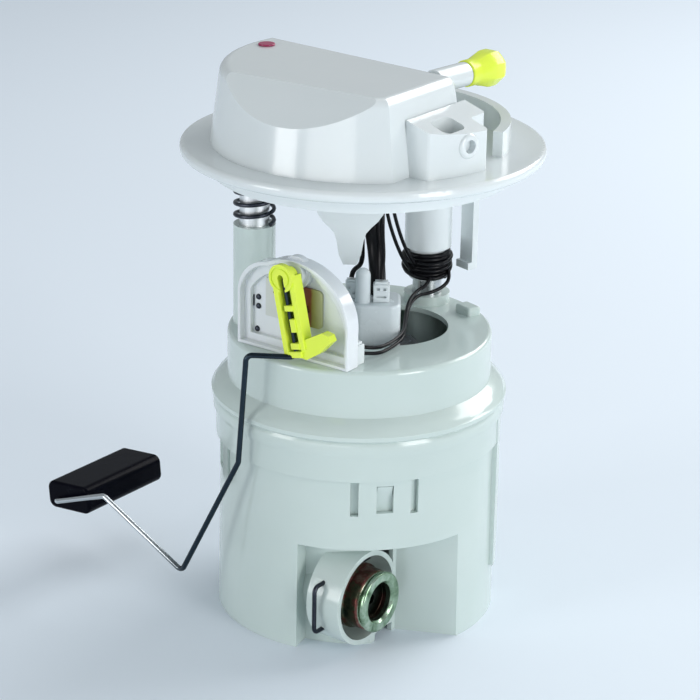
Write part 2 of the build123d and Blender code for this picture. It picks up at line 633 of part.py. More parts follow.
def regulator_body():
    """Crimped canister, turned about the regulator's axis, with its neck, clip groove and nose."""
    neck_back = REG_SOCKET_X + WALL + 0.6
    ring_gap = 2.3
    first = neck_back + 3.0
    second = neck_back + 7.0
    groove_r = REG_NECK_R - 1.7
    outline = [
        (0, neck_back), (REG_NECK_R, neck_back), (REG_NECK_R, first), (groove_r, first),
        (groove_r, first + ring_gap), (REG_NECK_R, first + ring_gap), (REG_NECK_R, second), (groove_r, second),
        (groove_r, second + ring_gap), (REG_NECK_R, second + ring_gap), (REG_NECK_R, CLIP_X - 1.3),
        (REG_NECK_R - 0.4, CLIP_X - 1.3), (REG_NECK_R - 0.4, REG_CAN_X), (REG_CAN_R - 0.9, REG_CAN_X),
        (REG_CAN_R, REG_CAN_X + 0.9), (REG_CAN_R, REG_CAN_X + 4.2), (REG_CAN_R - 0.9, REG_CAN_X + 5.2),
        (REG_CAN_R - 0.9, REG_CAN_END_X - 1.0), (REG_CAN_R - 1.9, REG_CAN_END_X), (REG_NOSE_R - 2.2, REG_CAN_END_X),
        (REG_NOSE_R - 2.2, REG_NOSE_X - 2.0), (REG_NOSE_R, REG_NOSE_X - 1.6), (REG_NOSE_R, REG_NOSE_X - 0.5),
        (REG_NOSE_R - 0.6, REG_NOSE_X), (REG_NOSE_HOLE_R + 1.2, REG_NOSE_X), (REG_NOSE_HOLE_R, REG_NOSE_X - 1.2),
        (REG_NOSE_HOLE_R, REG_NOSE_X - 5.0), (2.0, REG_NOSE_X - 5.0), (2.0, REG_NOSE_X - 8.0), (0, REG_NOSE_X - 8.0)]
    return Pos(0, REG_Y, REG_Z) * Rot(0, 90, 0) * turned(outline)


def regulator_seals():
    """Two rubber rings in the grooves of the regulator's neck."""
    ring_r = 0.95
    middle = REG_NECK_R + REG_SOCKET_PLAY - 0.1 - ring_r
    back = REG_SOCKET_X + WALL + 0.6
    rings = [
        Pos(back + offset + 1.15, REG_Y, REG_Z) * Rot(0, 90, 0) * Torus(middle, ring_r) for offset in (3.0, 7.0)]
    return Compound(children=rings)


def regulator_clip():
    """U-shaped wire clip through the holder and the regulator's groove."""
    points = [
        (CLIP_X, CLIP_TIP_Y, REG_Z + CLIP_HALF_W), (CLIP_X, CLIP_BACK_Y, REG_Z + CLIP_HALF_W),
        (CLIP_X, CLIP_BACK_Y, REG_Z - CLIP_HALF_W), (CLIP_X, CLIP_TIP_Y, REG_Z - CLIP_HALF_W)]
    return wire(points, CLIP_WIRE_R, 2.4)


def sender_outline(inset=0.0):
    """Outline of the sender's housing in X and Z, drawn in from its edge by an inset."""
    low = COVER_TOP_Z + inset
    left = SENDER_LEFT_X + inset
    right = SENDER_RIGHT_X - inset
    left_end = (left, 0, low + 22.5 - inset)
    left_top = (left + 14.0, 0, low + 36.0 - 2 * inset)
    right_top = (right - 11.0, 0, low + 34.5 - 2 * inset)
    right_end = (right, 0, low + 15.0 - inset)
    return make_face([
        Line((right, 0, low), (left, 0, low)),
        Line((left, 0, low), left_end),
        ThreePointArc(left_end, (left + 4.2, 0, low + 31.5 - 2 * inset), left_top),
        ThreePointArc(left_top, (2.0, 0, low + 39.2 - 2 * inset), right_top),
        ThreePointArc(right_top, (right - 2.5, 0, low + 26.0 - 2 * inset), right_end),
        Line(right_end, (right, 0, low))])


def sender_housing():
    """White housing of the level sender: back plate, rim and the arm's bearing."""
    depth = SENDER_BACK_Y - SENDER_FRONT_Y
    body = Pos(0, SENDER_BACK_Y, 0) * extrude(sender_outline(), depth, dir=(0, -1, 0))
    inner = depth - SENDER_PLATE_T
    recess = extrude(sender_outline(SENDER_RIM_T), inner + 1, dir=(0, -1, 0))
    body -= Pos(0, SENDER_BACK_Y - SENDER_PLATE_T, 0) * recess
    body += along_y(5.2, SENDER_FRONT_Y, SENDER_BACK_Y, HUB_X, HUB_Z)
    shelf_z = COVER_TOP_Z + 21.0
    divider_x = HUB_X - TRACK_OUTER_R - 1.0
    body += block(SENDER_LEFT_X + 0.5, divider_x, SENDER_FRONT_Y, SENDER_BACK_Y, shelf_z, shelf_z + 1.4)
    body += block(divider_x - 1.4, divider_x, SENDER_FRONT_Y, SENDER_BACK_Y, COVER_TOP_Z + 1, shelf_z + 8)
    body -= along_y(ARM_WIRE_R + ARM_PLAY, SENDER_FRONT_Y - 1, SENDER_BACK_Y - 1.0, HUB_X, HUB_Z)
    return body


def resistor_card():
    """Ceramic card of the sender, seated on the housing's back plate."""
    y0 = SENDER_BACK_Y - SENDER_PLATE_T
    card = block(HUB_X - TRACK_OUTER_R + 0.6, CARD_RIGHT_X, y0 - CARD_T, y0, CARD_BOTTOM_Z, CARD_TOP_Z)
    return fillet(card.edges().filter_by(Axis.Y).sort_by(Axis.X)[-2:], 2.0)


def resistor_track():
    """Arc of resistor ink on the card, centred on the arm's axis."""
    y0 = SENDER_BACK_Y - SENDER_PLATE_T - CARD_T
    arc = Rot(0, 0, -138.0) * revolve(make_face(Polyline(
        (TRACK_INNER_R, 0, 0), (TRACK_OUTER_R, 0, 0), (TRACK_OUTER_R, 0, TRACK_T), (TRACK_INNER_R, 0, TRACK_T),
        close=True)), Axis.Z, 68.0)
    return Pos(HUB_X, y0, HUB_Z) * Rot(90, 0, 0) * arc


def sender_terminals():
    """Three terminal strips with rivets on the housing's left side."""
    y1 = SENDER_BACK_Y - SENDER_PLATE_T
    strips = []
    for k, z in enumerate((COVER_TOP_Z + 7, COVER_TOP_Z + 12, COVER_TOP_Z + 17)):
        strip = block(SENDER_LEFT_X + 2.4, SENDER_LEFT_X + 6.4, y1 - 0.8, y1, z - 1.2, z + 1.2)
        strip += along_y(1.0, y1 - 2.0, y1 - 0.5, SENDER_LEFT_X + 4.0 + 0.5 * k, z)
        strips.append(strip)
    return Compound(children=strips)


def carrier_direction():
    """Unit vector from the arm's axis to the foot of the carrier, in X and Z."""
    dx = ARM_FOOT_X - HUB_X
    dz = ARM_FOOT_Z - HUB_Z
    length = math.hypot(dx, dz)
    return dx / length, dz / length, length


def lever_carrier():
    """Yellow carrier that clips on the float arm and turns with it."""
    ux, uz, length = carrier_direction()
    angle = math.degrees(math.atan2(-uz, ux))
    depth = CARRIER_BACK_Y - CARRIER_FRONT_Y
    place = Pos(HUB_X, (CARRIER_BACK_Y + CARRIER_FRONT_Y) / 2, HUB_Z) * Rot(0, angle, 0)
    bar_length = length - 1.6
    bar = Pos(bar_length / 2, 0, CARRIER_BAR_SHIFT) * Box(bar_length, depth, CARRIER_BAR_W)
    body = bar + Rot(90, 0, 0) * Cylinder(CARRIER_HUB_R, depth)
    slot_y = ARM_ALONG_Y - (CARRIER_BACK_Y + CARRIER_FRONT_Y) / 2
    slot_w = 2 * (ARM_WIRE_R + 0.1)
    front = -depth / 2
    slot_depth = slot_y + slot_w / 2 - front
    channel = Pos(length / 2, front + slot_depth / 2 - 1, 0) * Box(length + 2, slot_depth + 2, slot_w)
    window = Pos(7.8, 0, slot_w / 2 + 0.8) * Box(7.6, depth + 1, 1.8)
    body -= channel
    body -= window
    for reach in (13.0, 26.5):
        bridge = Pos(reach, front + 0.55, 0) * Box(2.2, 1.1, slot_w + 3)
        body += bridge
    fan = make_face(Polyline(*[(ARM_FOOT_X + x, 0, ARM_FOOT_Z + z) for x, z in CARRIER_FAN], close=True))
    fan = extrude(fillet(fan.vertices(), 1.2), depth - 1.6, dir=(0, -1, 0))
    carrier = place * body + Pos(0, CARRIER_BACK_Y, 0) * fan
    return carrier - wire(arm_points()[:4], ARM_WIRE_R + ARM_PLAY, ARM_BEND_R)


def wiper_contact():
    """Spring contact behind the carrier that sweeps the resistor track."""
    ux, uz, _ = carrier_direction()
    reach = (TRACK_INNER_R + TRACK_OUTER_R) / 2
    x = HUB_X + ux * reach
    z = HUB_Z + uz * reach
    tip_y = SENDER_BACK_Y - SENDER_PLATE_T - CARD_T - TRACK_T - WIPER_GAP
    return block(x - 1.2, x + 1.2, CARRIER_BACK_Y, tip_y, z - 1.0, z + 1.0)


def arm_points():
    """Corners of the float arm, from its pivot end to the end of the float's axle."""
    return [
        (HUB_X, SENDER_BACK_Y - 2.2, HUB_Z),
        (HUB_X, ARM_ALONG_Y, HUB_Z),
        (ARM_FOOT_X, ARM_ALONG_Y, ARM_FOOT_Z),
        (-8.7, ARM_PLANE_Y, 121.9),
        (-12.6, ARM_PLANE_Y, 75.8),
        (-42.2, ARM_PLANE_Y, 19.8),
        (-84.0, ARM_PLANE_Y, 41.6),
        (FLOAT_HINGE_X, ARM_PLANE_Y, FLOAT_HINGE_Z),
        (FLOAT_HINGE_X, FLOAT_FRONT_Y + FLOAT_L + 1.6, FLOAT_HINGE_Z)]


def float_arm():
    """Bent wire arm: pivot end, run through the carrier, bends round the pot and the float's axle."""
    arm = wire(arm_points(), ARM_WIRE_R, ARM_BEND_R)
    end_y = FLOAT_FRONT_Y + FLOAT_L + 0.6
    arm += along_y(2.0, end_y, end_y + 1.0, FLOAT_HINGE_X, FLOAT_HINGE_Z)
    return arm


def float_body():
    """Foam float, free to turn on the end of the arm."""
    body = block(-FLOAT_AHEAD, FLOAT_W - FLOAT_AHEAD, 0, FLOAT_L, -FLOAT_BELOW, FLOAT_H - FLOAT_BELOW)
    body = fillet(body.edges().filter_by(Axis.Y), FLOAT_EDGE_R)
    body = fillet(body.faces().sort_by(Axis.Y)[0].edges() + body.faces().sort_by(Axis.Y)[-1].edges(), 1.2)
    body -= along_y(ARM_WIRE_R + ARM_PLAY, -1, FLOAT_L + 1, 0, 0)
    return Pos(FLOAT_HINGE_X, FLOAT_FRONT_Y, FLOAT_HINGE_Z) * Rot(0, -FLOAT_TILT, 0) * body


def flange():
    """Tank flange: disc, skirt, ring wall, connector block, guide bosses, strap and lead post."""
    bottom = FLANGE_TOP_Z - FLANGE_T
    disc = upright(FLANGE_R, bottom, FLANGE_TOP_Z)
    disc = fillet(disc.edges(), FLANGE_EDGE_R)
    disc += tube(SKIRT_R, SKIRT_R - SKIRT_T, SKIRT_BOTTOM_Z, bottom + 1)
    disc += sector(
        RING_WALL_R - RING_WALL_T, RING_WALL_R, RING_WALL_START, RING_WALL_END - RING_WALL_START,
        FLANGE_TOP_Z - 1, RING_WALL_TOP_Z)
    disc += connector_block()
    left_x, left_y = guide(LEFT_GUIDE_ANGLE)
    right_x, right_y = guide(RIGHT_GUIDE_ANGLE)
    disc += upright(LEFT_BOSS_R, LEFT_BOSS_Z, bottom + 1, left_x, left_y)
    disc += upright(RIGHT_COLUMN_R, RIGHT_COLUMN_Z, bottom + 1, right_x, right_y)
    disc += upright(RIGHT_NECK_R, RIGHT_NECK_Z, bottom, right_x, right_y)
    disc -= upright(ROD_R, LEFT_BOSS_Z - 1, FLANGE_TOP_Z - 1.5, left_x, left_y)
    disc -= upright(ROD_R, RIGHT_NECK_Z - 1, FLANGE_TOP_Z - 1.5, right_x, right_y)
    strap_z = RIGHT_NECK_Z + 3.6
    skirt_in = SKIRT_R - SKIRT_T
    half = STRAP_W / 2
    strap = block(skirt_in - STRAP_T, skirt_in + 0.4, -half, half, strap_z, bottom)
    hook = block(skirt_in - STRAP_HOOK, skirt_in + 0.4, -half, half, strap_z, strap_z + STRAP_HOOK_H)
    disc += Rot(0, 0, STRAP_ANGLE) * strap
    disc += Rot(0, 0, STRAP_ANGLE) * hook
    tip = POST_TIP_Z
    half_widths = ((0, 2.6), (4, 4.4), (10, 5.4), (13, 6.3), (15.5, 8.4), (18, 11.0), (21, 13.0), (26, 14.0))
    right = [(w, 0, tip + h) for h, w in half_widths] + [(14.0, 0, bottom + 0.5)]
    left = [(-w, 0, z) for w, _, z in reversed(right)]
    post = extrude(make_face(Polyline(*right, *left, close=True)), POST_T / 2, dir=(0, -1, 0), both=True)
    disc += Pos(POST_X, POST_Y, 0) * Rot(0, 0, POST_TURN) * post
    disc += upright(NIPPLE_R, bottom - 6, bottom + 0.5, HOSE_TOP_X, HOSE_TOP_Y)
    return disc


def connector_block():
    """Connector block between the dome's wall and the rim, with its mouth, round jack and back tab."""
    slope = math.degrees(math.atan2(BLOCK_WALL_Z - BLOCK_RIM_Z, BLOCK_R - DOME_RIGHT_X))
    circle = upright(BLOCK_R, FLANGE_TOP_Z - 1, BLOCK_WALL_Z + 5)
    body = circle & block(
        DOME_RIGHT_X - 2, BLOCK_R + 1, BLOCK_FRONT_Y, BLOCK_RIM_END_Y, FLANGE_TOP_Z - 1, BLOCK_WALL_Z + 1)
    body += circle & block(
        DOME_RIGHT_X - 2, BLOCK_INNER_X, BLOCK_RIM_END_Y - 1, BLOCK_BACK_Y, FLANGE_TOP_Z - 1, BLOCK_WALL_Z + 1)
    above = Pos(DOME_RIGHT_X, 0, BLOCK_WALL_Z) * Rot(0, slope, 0) * Box(
        4 * BLOCK_R, 4 * BLOCK_R, BLOCK_R, align=(Align.CENTER, Align.CENTER, Align.MIN))
    body -= above
    body = fillet(body.edges().filter_by(Axis.Z).filter_by(lambda e: e.center().X > DOME_RIGHT_X), BLOCK_EDGE_R)
    jack = Rot(0, 0, JACK_ANGLE) * along_x(JACK_R, JACK_REACH - 8, JACK_REACH, 0, JACK_Z)
    jack = fillet(jack.edges().sort_by(lambda e: e.center().X)[-1], BLOCK_EDGE_R)
    body += jack
    body -= Rot(0, 0, JACK_ANGLE) * along_x(JACK_BORE_R, JACK_REACH - 3, JACK_REACH + 1, 0, JACK_Z)
    mouth = block(
        MOUTH_X - MOUTH_W / 2, MOUTH_X + MOUTH_W / 2, MOUTH_Y - MOUTH_L / 2, MOUTH_Y + MOUTH_L / 2,
        MOUTH_FLOOR_Z, BLOCK_WALL_Z + 5)
    body -= fillet(mouth.edges().filter_by(Axis.Z), MOUTH_W / 3)
    return body - dome_solid()


def dome_solid(grow=0.0):
    """Outer form of the filter housing, drawn in by a negative growth."""
    far = 4 * DOME_BASE_R
    plan = Circle(DOME_BASE_R + grow)
    plan -= Rot(0, 0, DOME_BACK_TURN) * Pos(0, DOME_BACK_Y + grow + far / 2) * Rectangle(far, far)
    plan -= Pos(DOME_RIGHT_X + grow + far / 2, 0) * Rectangle(far, far)
    body = extrude(Plane.XY.offset(FLANGE_TOP_Z) * plan, DOME_TOP_Z - FLANGE_TOP_Z + grow, taper=DOME_TAPER)
    ax, ay = BEVEL_LEFT
    bx, by = BEVEL_RIGHT
    chord = math.degrees(math.atan2(by - ay, bx - ax))
    cutter = Pos((ax + bx) / 2, (ay + by) / 2, DOME_TOP_Z + grow * 1.6) * Rot(0, 0, chord) * Rot(
        BEVEL_SLOPE, 0, 0) * Box(far, far, far, align=(Align.CENTER, Align.MAX, Align.MIN))
    return body - cutter


def along_spigot(radius, start, end):
    """Cylinder along the outlet spigot's axis, between two distances from where the cap begins."""
    return Pos(SPIGOT_X, SPIGOT_BASE_Y, SPIGOT_Z) * Rot(0, 0, SPIGOT_TURN) * along_y(radius, start, end, 0, 0)


def filter_cover():
    """Filter housing: thin-walled dome with a flat back, a bevelled front and the outlet spigot."""
    shell = dome_solid()
    height = DOME_TOP_Z - FLANGE_TOP_Z
    corners = shell.edges().filter_by(lambda e: e.length > height * 0.9 and e.geom_type == GeomType.LINE and
                                      abs((e @ 1).Z - (e @ 0).Z) > height * 0.9)
    left_corner = corners.sort_by(Axis.X)[0]
    shell = fillet(left_corner, DOME_CORNER_R)
    top = shell.faces().sort_by(Axis.Z)[-1].edges()
    shoulder = top.filter_by(lambda e: e.geom_type != GeomType.LINE)
    shell = fillet(shoulder, DOME_SHOULDER_R)
    shell -= dome_solid(-DOME_WALL)
    shell += along_spigot(SPIGOT_BASE_R, -SPIGOT_ROOT, 0)
    shell += along_spigot(SPIGOT_TIP_R, -1, SPIGOT_LENGTH)
    shell -= along_spigot(SPIGOT_BORE_R, -SPIGOT_ROOT - 1, SPIGOT_LENGTH + 1)
    return shell


def marker_plug():
    """Small red plug in the dome's top."""
    return upright(MARKER_R, DOME_TOP_Z, DOME_TOP_Z + MARKER_H, MARKER_X, MARKER_Y)


def filter_element():
    """Pleated filter paper, folded round a ring."""
    points = []
    for k in range(2 * FILTER_PLEATS):
        radius = FILTER_OUTER_R if k % 2 == 0 else FILTER_OUTER_R - 4.2
        x, y, _ = polar(radius, k * 180 / FILTER_PLEATS)
        points.append((x, y))
    for_outer = extrude(make_face(Polyline(*points, close=True)), FILTER_H)
    element = for_outer - upright(FILTER_INNER_R, -1, FILTER_H + 1)
    return Pos(FILTER_X, FILTER_Y, FLANGE_TOP_Z) * element


def connector_pins():
    """Flat contact pins in the connector's mouth."""
    pitch = 5.0
    floor_z = MOUTH_FLOOR_Z
    pins = []
    for k in range(PIN_COUNT):
        y = MOUTH_Y + (k - (PIN_COUNT - 1) / 2) * pitch
        pins.append(block(MOUTH_X - 0.4, MOUTH_X + 0.4, y - 1.2, y + 1.2, floor_z, floor_z + 6.5))
    return Compound(children=pins)


def outlet_cap():
    """Yellow transport cap: a sleeve that flares to its closed end."""
    bore_r = SPIGOT_TIP_R + CAP_PLAY
    end = CAP_LENGTH
    outline = [
        (bore_r, 0.3), (CAP_NECK_R, 0.3), (CAP_NECK_R, 5.5), (CAP_FLARE_R - 0.4, 11.0), (CAP_FLARE_R, 13.0),
        (CAP_FLARE_R, end - 3.0), (CAP_FLARE_R - 1.4, end - 0.8), (CAP_FLARE_R - 3.0, end), (0, end),
        (0, end - 2.2), (bore_r, end - 2.2)]
    return Pos(SPIGOT_X, SPIGOT_BASE_Y, SPIGOT_Z) * Rot(0, 0, SPIGOT_TURN) * Rot(-90, 0, 0) * turned(outline)


def guide_rods():
    """The two guide rods, pressed into the flange, by node name."""
    rods = {}
    for name, angle in (("guide_rod_left", LEFT_GUIDE_ANGLE), ("guide_rod_right", RIGHT_GUIDE_ANGLE)):
        x, y = guide(angle)
        rod = upright(ROD_R, ROD_BOTTOM_Z, FLANGE_TOP_Z - 1.5, x, y)
        rods[name] = chamfer(rod.faces().sort_by(Axis.Z)[0].edges(), ROD_CHAMFER)
    return rods


def guide_spring_left():
    """Spring in view round the left rod."""
    x, y = guide(LEFT_GUIDE_ANGLE)
    return coil(LEFT_SPRING_R, LEFT_SPRING_WIRE_R, LEFT_SPRING_TURNS, LEFT_TUBE_TOP_Z, LEFT_BOSS_Z, x, y)


def guide_spring_right():
    """Spring under the right rod, inside its tube."""
    x, y = guide(RIGHT_GUIDE_ANGLE)
    bottom = TUBE_BOTTOM_Z + TUBE_FLOOR_T
    return coil(RIGHT_SPRING_R, RIGHT_SPRING_WIRE_R, RIGHT_SPRING_TURNS, bottom, ROD_BOTTOM_Z, x, y)


def lead_coil():
    """The sender leads wound round the neck of the right column, as one closed wound ring."""
    x, y = guide(RIGHT_GUIDE_ANGLE)
    turn_r = 1.15
    gap = 0.3
    inner = RIGHT_NECK_R + 0.05
    count = int((RIGHT_COLUMN_Z - RIGHT_NECK_Z - 2 * gap) / (2 * turn_r))
    bottom = RIGHT_COLUMN_Z - gap - count * 2 * turn_r
    outline = [(inner, bottom)]
    for k in range(count):
        z = bottom + 2 * turn_r * k
        outer = inner + 2 * turn_r
        outline += [(inner + turn_r, z), (outer, z + turn_r * 0.6), (outer, z + turn_r * 1.4)]
    outline += [(inner + turn_r, RIGHT_COLUMN_Z - gap), (inner, RIGHT_COLUMN_Z - gap)]
    return Pos(x, y, 0) * turned(outline)


def pump_plugs():
    """White plugs on the pump's two terminals, by node name."""
    plugs = {}
    for name, (x, y), size in (
            ("pump_plug_right", PLUG_RIGHT, PLUG_RIGHT_SIZE), ("pump_plug_left", PLUG_LEFT, PLUG_LEFT_SIZE)):
        plug = Pos(x, y, CAP_BLOCK_TOP_Z + size[2] / 2) * Rot(0, 0, CAP_BLOCK_TURN) * Box(*size)
        plugs[name] = fillet(plug.edges().filter_by(Axis.Z), 0.8)
    return plugs


def sender_plug():
    """White plug of the sender leads on the back of the sender's housing."""
    width, depth, height = SENDER_PLUG_SIZE
    y = SENDER_BACK_Y + depth / 2
    plug = Pos(SENDER_PLUG_X, y, COVER_TOP_Z + height / 2) * Box(width, depth, height)
    return fillet(plug.edges().filter_by(Axis.Z), 0.8)


def feed_hose():
    """Hose from the pump's nipple to the flange's nipple."""
    points = [
        (NIPPLE_X, NIPPLE_Y, CAP_BLOCK_TOP_Z), (NIPPLE_X, NIPPLE_Y, CAP_BLOCK_TOP_Z + 13.0),
        (HOSE_TOP_X, HOSE_TOP_Y, CAP_BLOCK_TOP_Z + 29.5), (HOSE_TOP_X, HOSE_TOP_Y, FLANGE_TOP_Z - FLANGE_T)]
    bends = open_bends(points)
    return wire(points, HOSE_R, bends) - wire(points, NIPPLE_R + 0.05, bends)


def pump_leads():
    """The two leads from the flange to the plugs on the pump, by node name."""
    top = FLANGE_TOP_Z - FLANGE_T - LEAD_GAP
    leads = {}
    for name, route, plug, size in (
            ("pump_lead_right", PUMP_LEAD_RIGHT_ROUTE, PLUG_RIGHT, PLUG_RIGHT_SIZE),
            ("pump_lead_left", PUMP_LEAD_LEFT_ROUTE, PLUG_LEFT, PLUG_LEFT_SIZE)):
        points = [(*route[0], top), *route[1:], (*plug, CAP_BLOCK_TOP_Z + size[2] + PLUG_GAP)]
        leads[name] = cord(name, points, PUMP_LEAD_R)
    return leads


def sender_leads():
    """The two sender leads above the winding and below it, by node name."""
    top = FLANGE_TOP_Z - FLANGE_T - LEAD_GAP
    plug_y = SENDER_BACK_Y + SENDER_PLUG_SIZE[1] + PLUG_GAP
    upper = [
        cord("sender_leads_upper", [(*route[0], top), *route[1:]], SENDER_LEAD_R)
        for route in (SENDER_LEAD_A_UPPER, SENDER_LEAD_B_UPPER)]
    lower = [
        cord("sender_leads_lower", [*route, (SENDER_PLUG_X + shift, plug_y, z)], SENDER_LEAD_R)
        for route, shift, z in ((SENDER_LEAD_A_LOWER, 0.8, 121.8), (SENDER_LEAD_B_LOWER, -0.4, 124.4))]
    return {"sender_leads_upper": Compound(children=upper), "sender_leads_lower": Compound(children=lower)}


def cord(name, points, radius):
    """Cord through its points with open bends; prints the bends and its volume against its length."""
    bends = open_bends(points)
    path = FilletPolyline(*points, radius=bends)
    solid = wire(points, radius, bends)
    ratio = solid.volume / (math.pi * radius ** 2 * path.length)
    print(name, "bend radii", [round(b, 1) for b in bends], "volume ratio", round(ratio, 4))
    return solid


def main():
    """Builds every node and writes one file for each."""
    os.makedirs("parts", exist_ok=True)
    nodes = {
        "reservoir_pot": reservoir_pot(),
        "reservoir_cover": reservoir_cover(),
        "pump_bucket": pump_bucket(),
        "pump_mount": pump_mount(),
        "pump_casing": pump_casing(),
        "pump_inlet": pump_inlet(),
        "pump_magnets": pump_magnets(),
        "pump_impeller": pump_impeller(),
        "pump_rotor": pump_rotor(),
        "pump_end_cap": pump_end_cap(),
        "inlet_strainer": inlet_strainer(),
        "inlet_valve": inlet_valve(),
        "jet_pump": jet_pump(),
        "regulator_body": regulator_body(),
        "regulator_seals": regulator_seals(),
        "regulator_clip": regulator_clip(),
        "sender_housing": sender_housing(),
        "resistor_card": resistor_card(),
        "resistor_track": resistor_track(),
        "sender_terminals": sender_terminals(),
        "lever_carrier": lever_carrier(),
        "wiper_contact": wiper_contact(),
        "float_arm": float_arm(),
        "float": float_body(),
        "flange": flange(),
        "filter_cover": filter_cover(),
        "marker_plug": marker_plug(),
        "filter_element": filter_element(),
        "connector_pins": connector_pins(),
        "outlet_cap": outlet_cap(),
        "guide_spring_left": guide_spring_left(),
        "guide_spring_right": guide_spring_right(),
        "lead_coil": lead_coil(),
        "sender_plug": sender_plug(),
        "feed_hose": feed_hose(),
        **guide_rods(),
        **pump_plugs(),
        **pump_leads(),
        **sender_leads(),
    }
    for name, shape in nodes.items():
        export_step(shape, f"parts/{name}.step")


main()
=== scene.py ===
"""Looks of a fuel pump module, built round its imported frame."""

import logging
import math
from collections.abc import Iterable, Mapping, Sequence
from dataclasses import dataclass
from enum import Enum

import bmesh
import bpy
from mathutils import Matrix, Vector


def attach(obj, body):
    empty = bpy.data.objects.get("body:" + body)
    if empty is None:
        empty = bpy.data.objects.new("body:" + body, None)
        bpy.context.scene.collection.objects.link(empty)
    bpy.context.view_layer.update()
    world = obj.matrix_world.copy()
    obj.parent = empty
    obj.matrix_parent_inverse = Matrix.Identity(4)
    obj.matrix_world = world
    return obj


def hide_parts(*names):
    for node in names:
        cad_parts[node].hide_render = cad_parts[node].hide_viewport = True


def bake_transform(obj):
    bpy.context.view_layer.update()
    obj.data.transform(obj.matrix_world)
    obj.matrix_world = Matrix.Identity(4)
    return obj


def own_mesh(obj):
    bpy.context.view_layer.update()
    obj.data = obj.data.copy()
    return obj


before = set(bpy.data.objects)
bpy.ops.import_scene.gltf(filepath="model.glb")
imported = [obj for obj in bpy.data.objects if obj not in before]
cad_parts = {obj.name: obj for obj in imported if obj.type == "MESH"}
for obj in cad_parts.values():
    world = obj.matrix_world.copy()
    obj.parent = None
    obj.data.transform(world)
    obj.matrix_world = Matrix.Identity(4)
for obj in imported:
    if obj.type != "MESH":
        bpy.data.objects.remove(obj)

log = logging.getLogger("fuel_pump_module")
MM = 0.001
ROUND_STEPS = 48
ARC_STEPS = 16
COIL_STEPS = 16
LOOP_STEPS = 24
CORD_STEPS = 12
CORD_SIDES = 3
TIP_R = 0.02
LEFT_ROD_DEG = 212.0
RIGHT_ROD_DEG = 86.0
PAST = 1.0
SHARP_DEG = 35.0
LATHED_SHARP_DEG = 28.0
WELD_MM = 0.002
FLAT_DEG = 0.5
EDGE_DEG = 38.0

Flat = tuple[float, float]
Point = tuple[float, float, float]
Span = tuple[float, float, float, float]
Colour = tuple[float, float, float]
Route = tuple[Point, ...]
Piece = bpy.types.Object


class Slot(Enum):
    """Material slots of the part's record."""

    WHITE_PLASTIC = "white_plastic"
    CLEAR_WHITE_PLASTIC = "clear_white_plastic"
    GREY_PLASTIC = "grey_plastic"
    YELLOW_PLASTIC = "yellow_plastic"
    RED_PLASTIC = "red_plastic"
    BLACK_RUBBER = "black_rubber"
    BLACK_FOAM = "black_foam"
    STEEL = "steel"
    DARK_SPRING_STEEL = "dark_spring_steel"
    ZINC_CHROMATE = "zinc_chromate"
    BRASS = "brass"
    COPPER_WOUND = "copper_wound"
    CERAMIC_CARD = "ceramic_card"
    FILTER_PAPER = "filter_paper"


class Body(Enum):
    """Bodies of the frame that pieces ride on."""

    RESERVOIR = "reservoir"
    FLANGE = "flange_body"
    OUTLET_CAP = "outlet_cap_body"
    LEVER = "lever"
    FLOAT = "float_body"
    ROTOR = "rotor"


class Signal:
    """Number or colour that leaves a socket; arithmetic on it adds Math nodes."""

    def __init__(self, graph: "Graph", socket: bpy.types.NodeSocket) -> None:
        """Keeps the socket and the graph that it belongs to."""
        self.graph = graph
        self.socket = socket

    def _math(self, operation: str, other: "Signal | float") -> "Signal":
        """Adds one Math node with this signal on its left."""
        node = self.graph.add("ShaderNodeMath", {"operation": operation}, {0: self, 1: other})
        return Signal(self.graph, node.outputs[0])

    def __add__(self, other: "Signal | float") -> "Signal":
        """Sum."""
        return self._math("ADD", other)

    def __sub__(self, other: "Signal | float") -> "Signal":
        """Difference."""
        return self._math("SUBTRACT", other)

    def __mul__(self, other: "Signal | float") -> "Signal":
        """Product."""
        return self._math("MULTIPLY", other)

    def __pow__(self, other: float) -> "Signal":
        """Power."""
        return self._math("POWER", other)


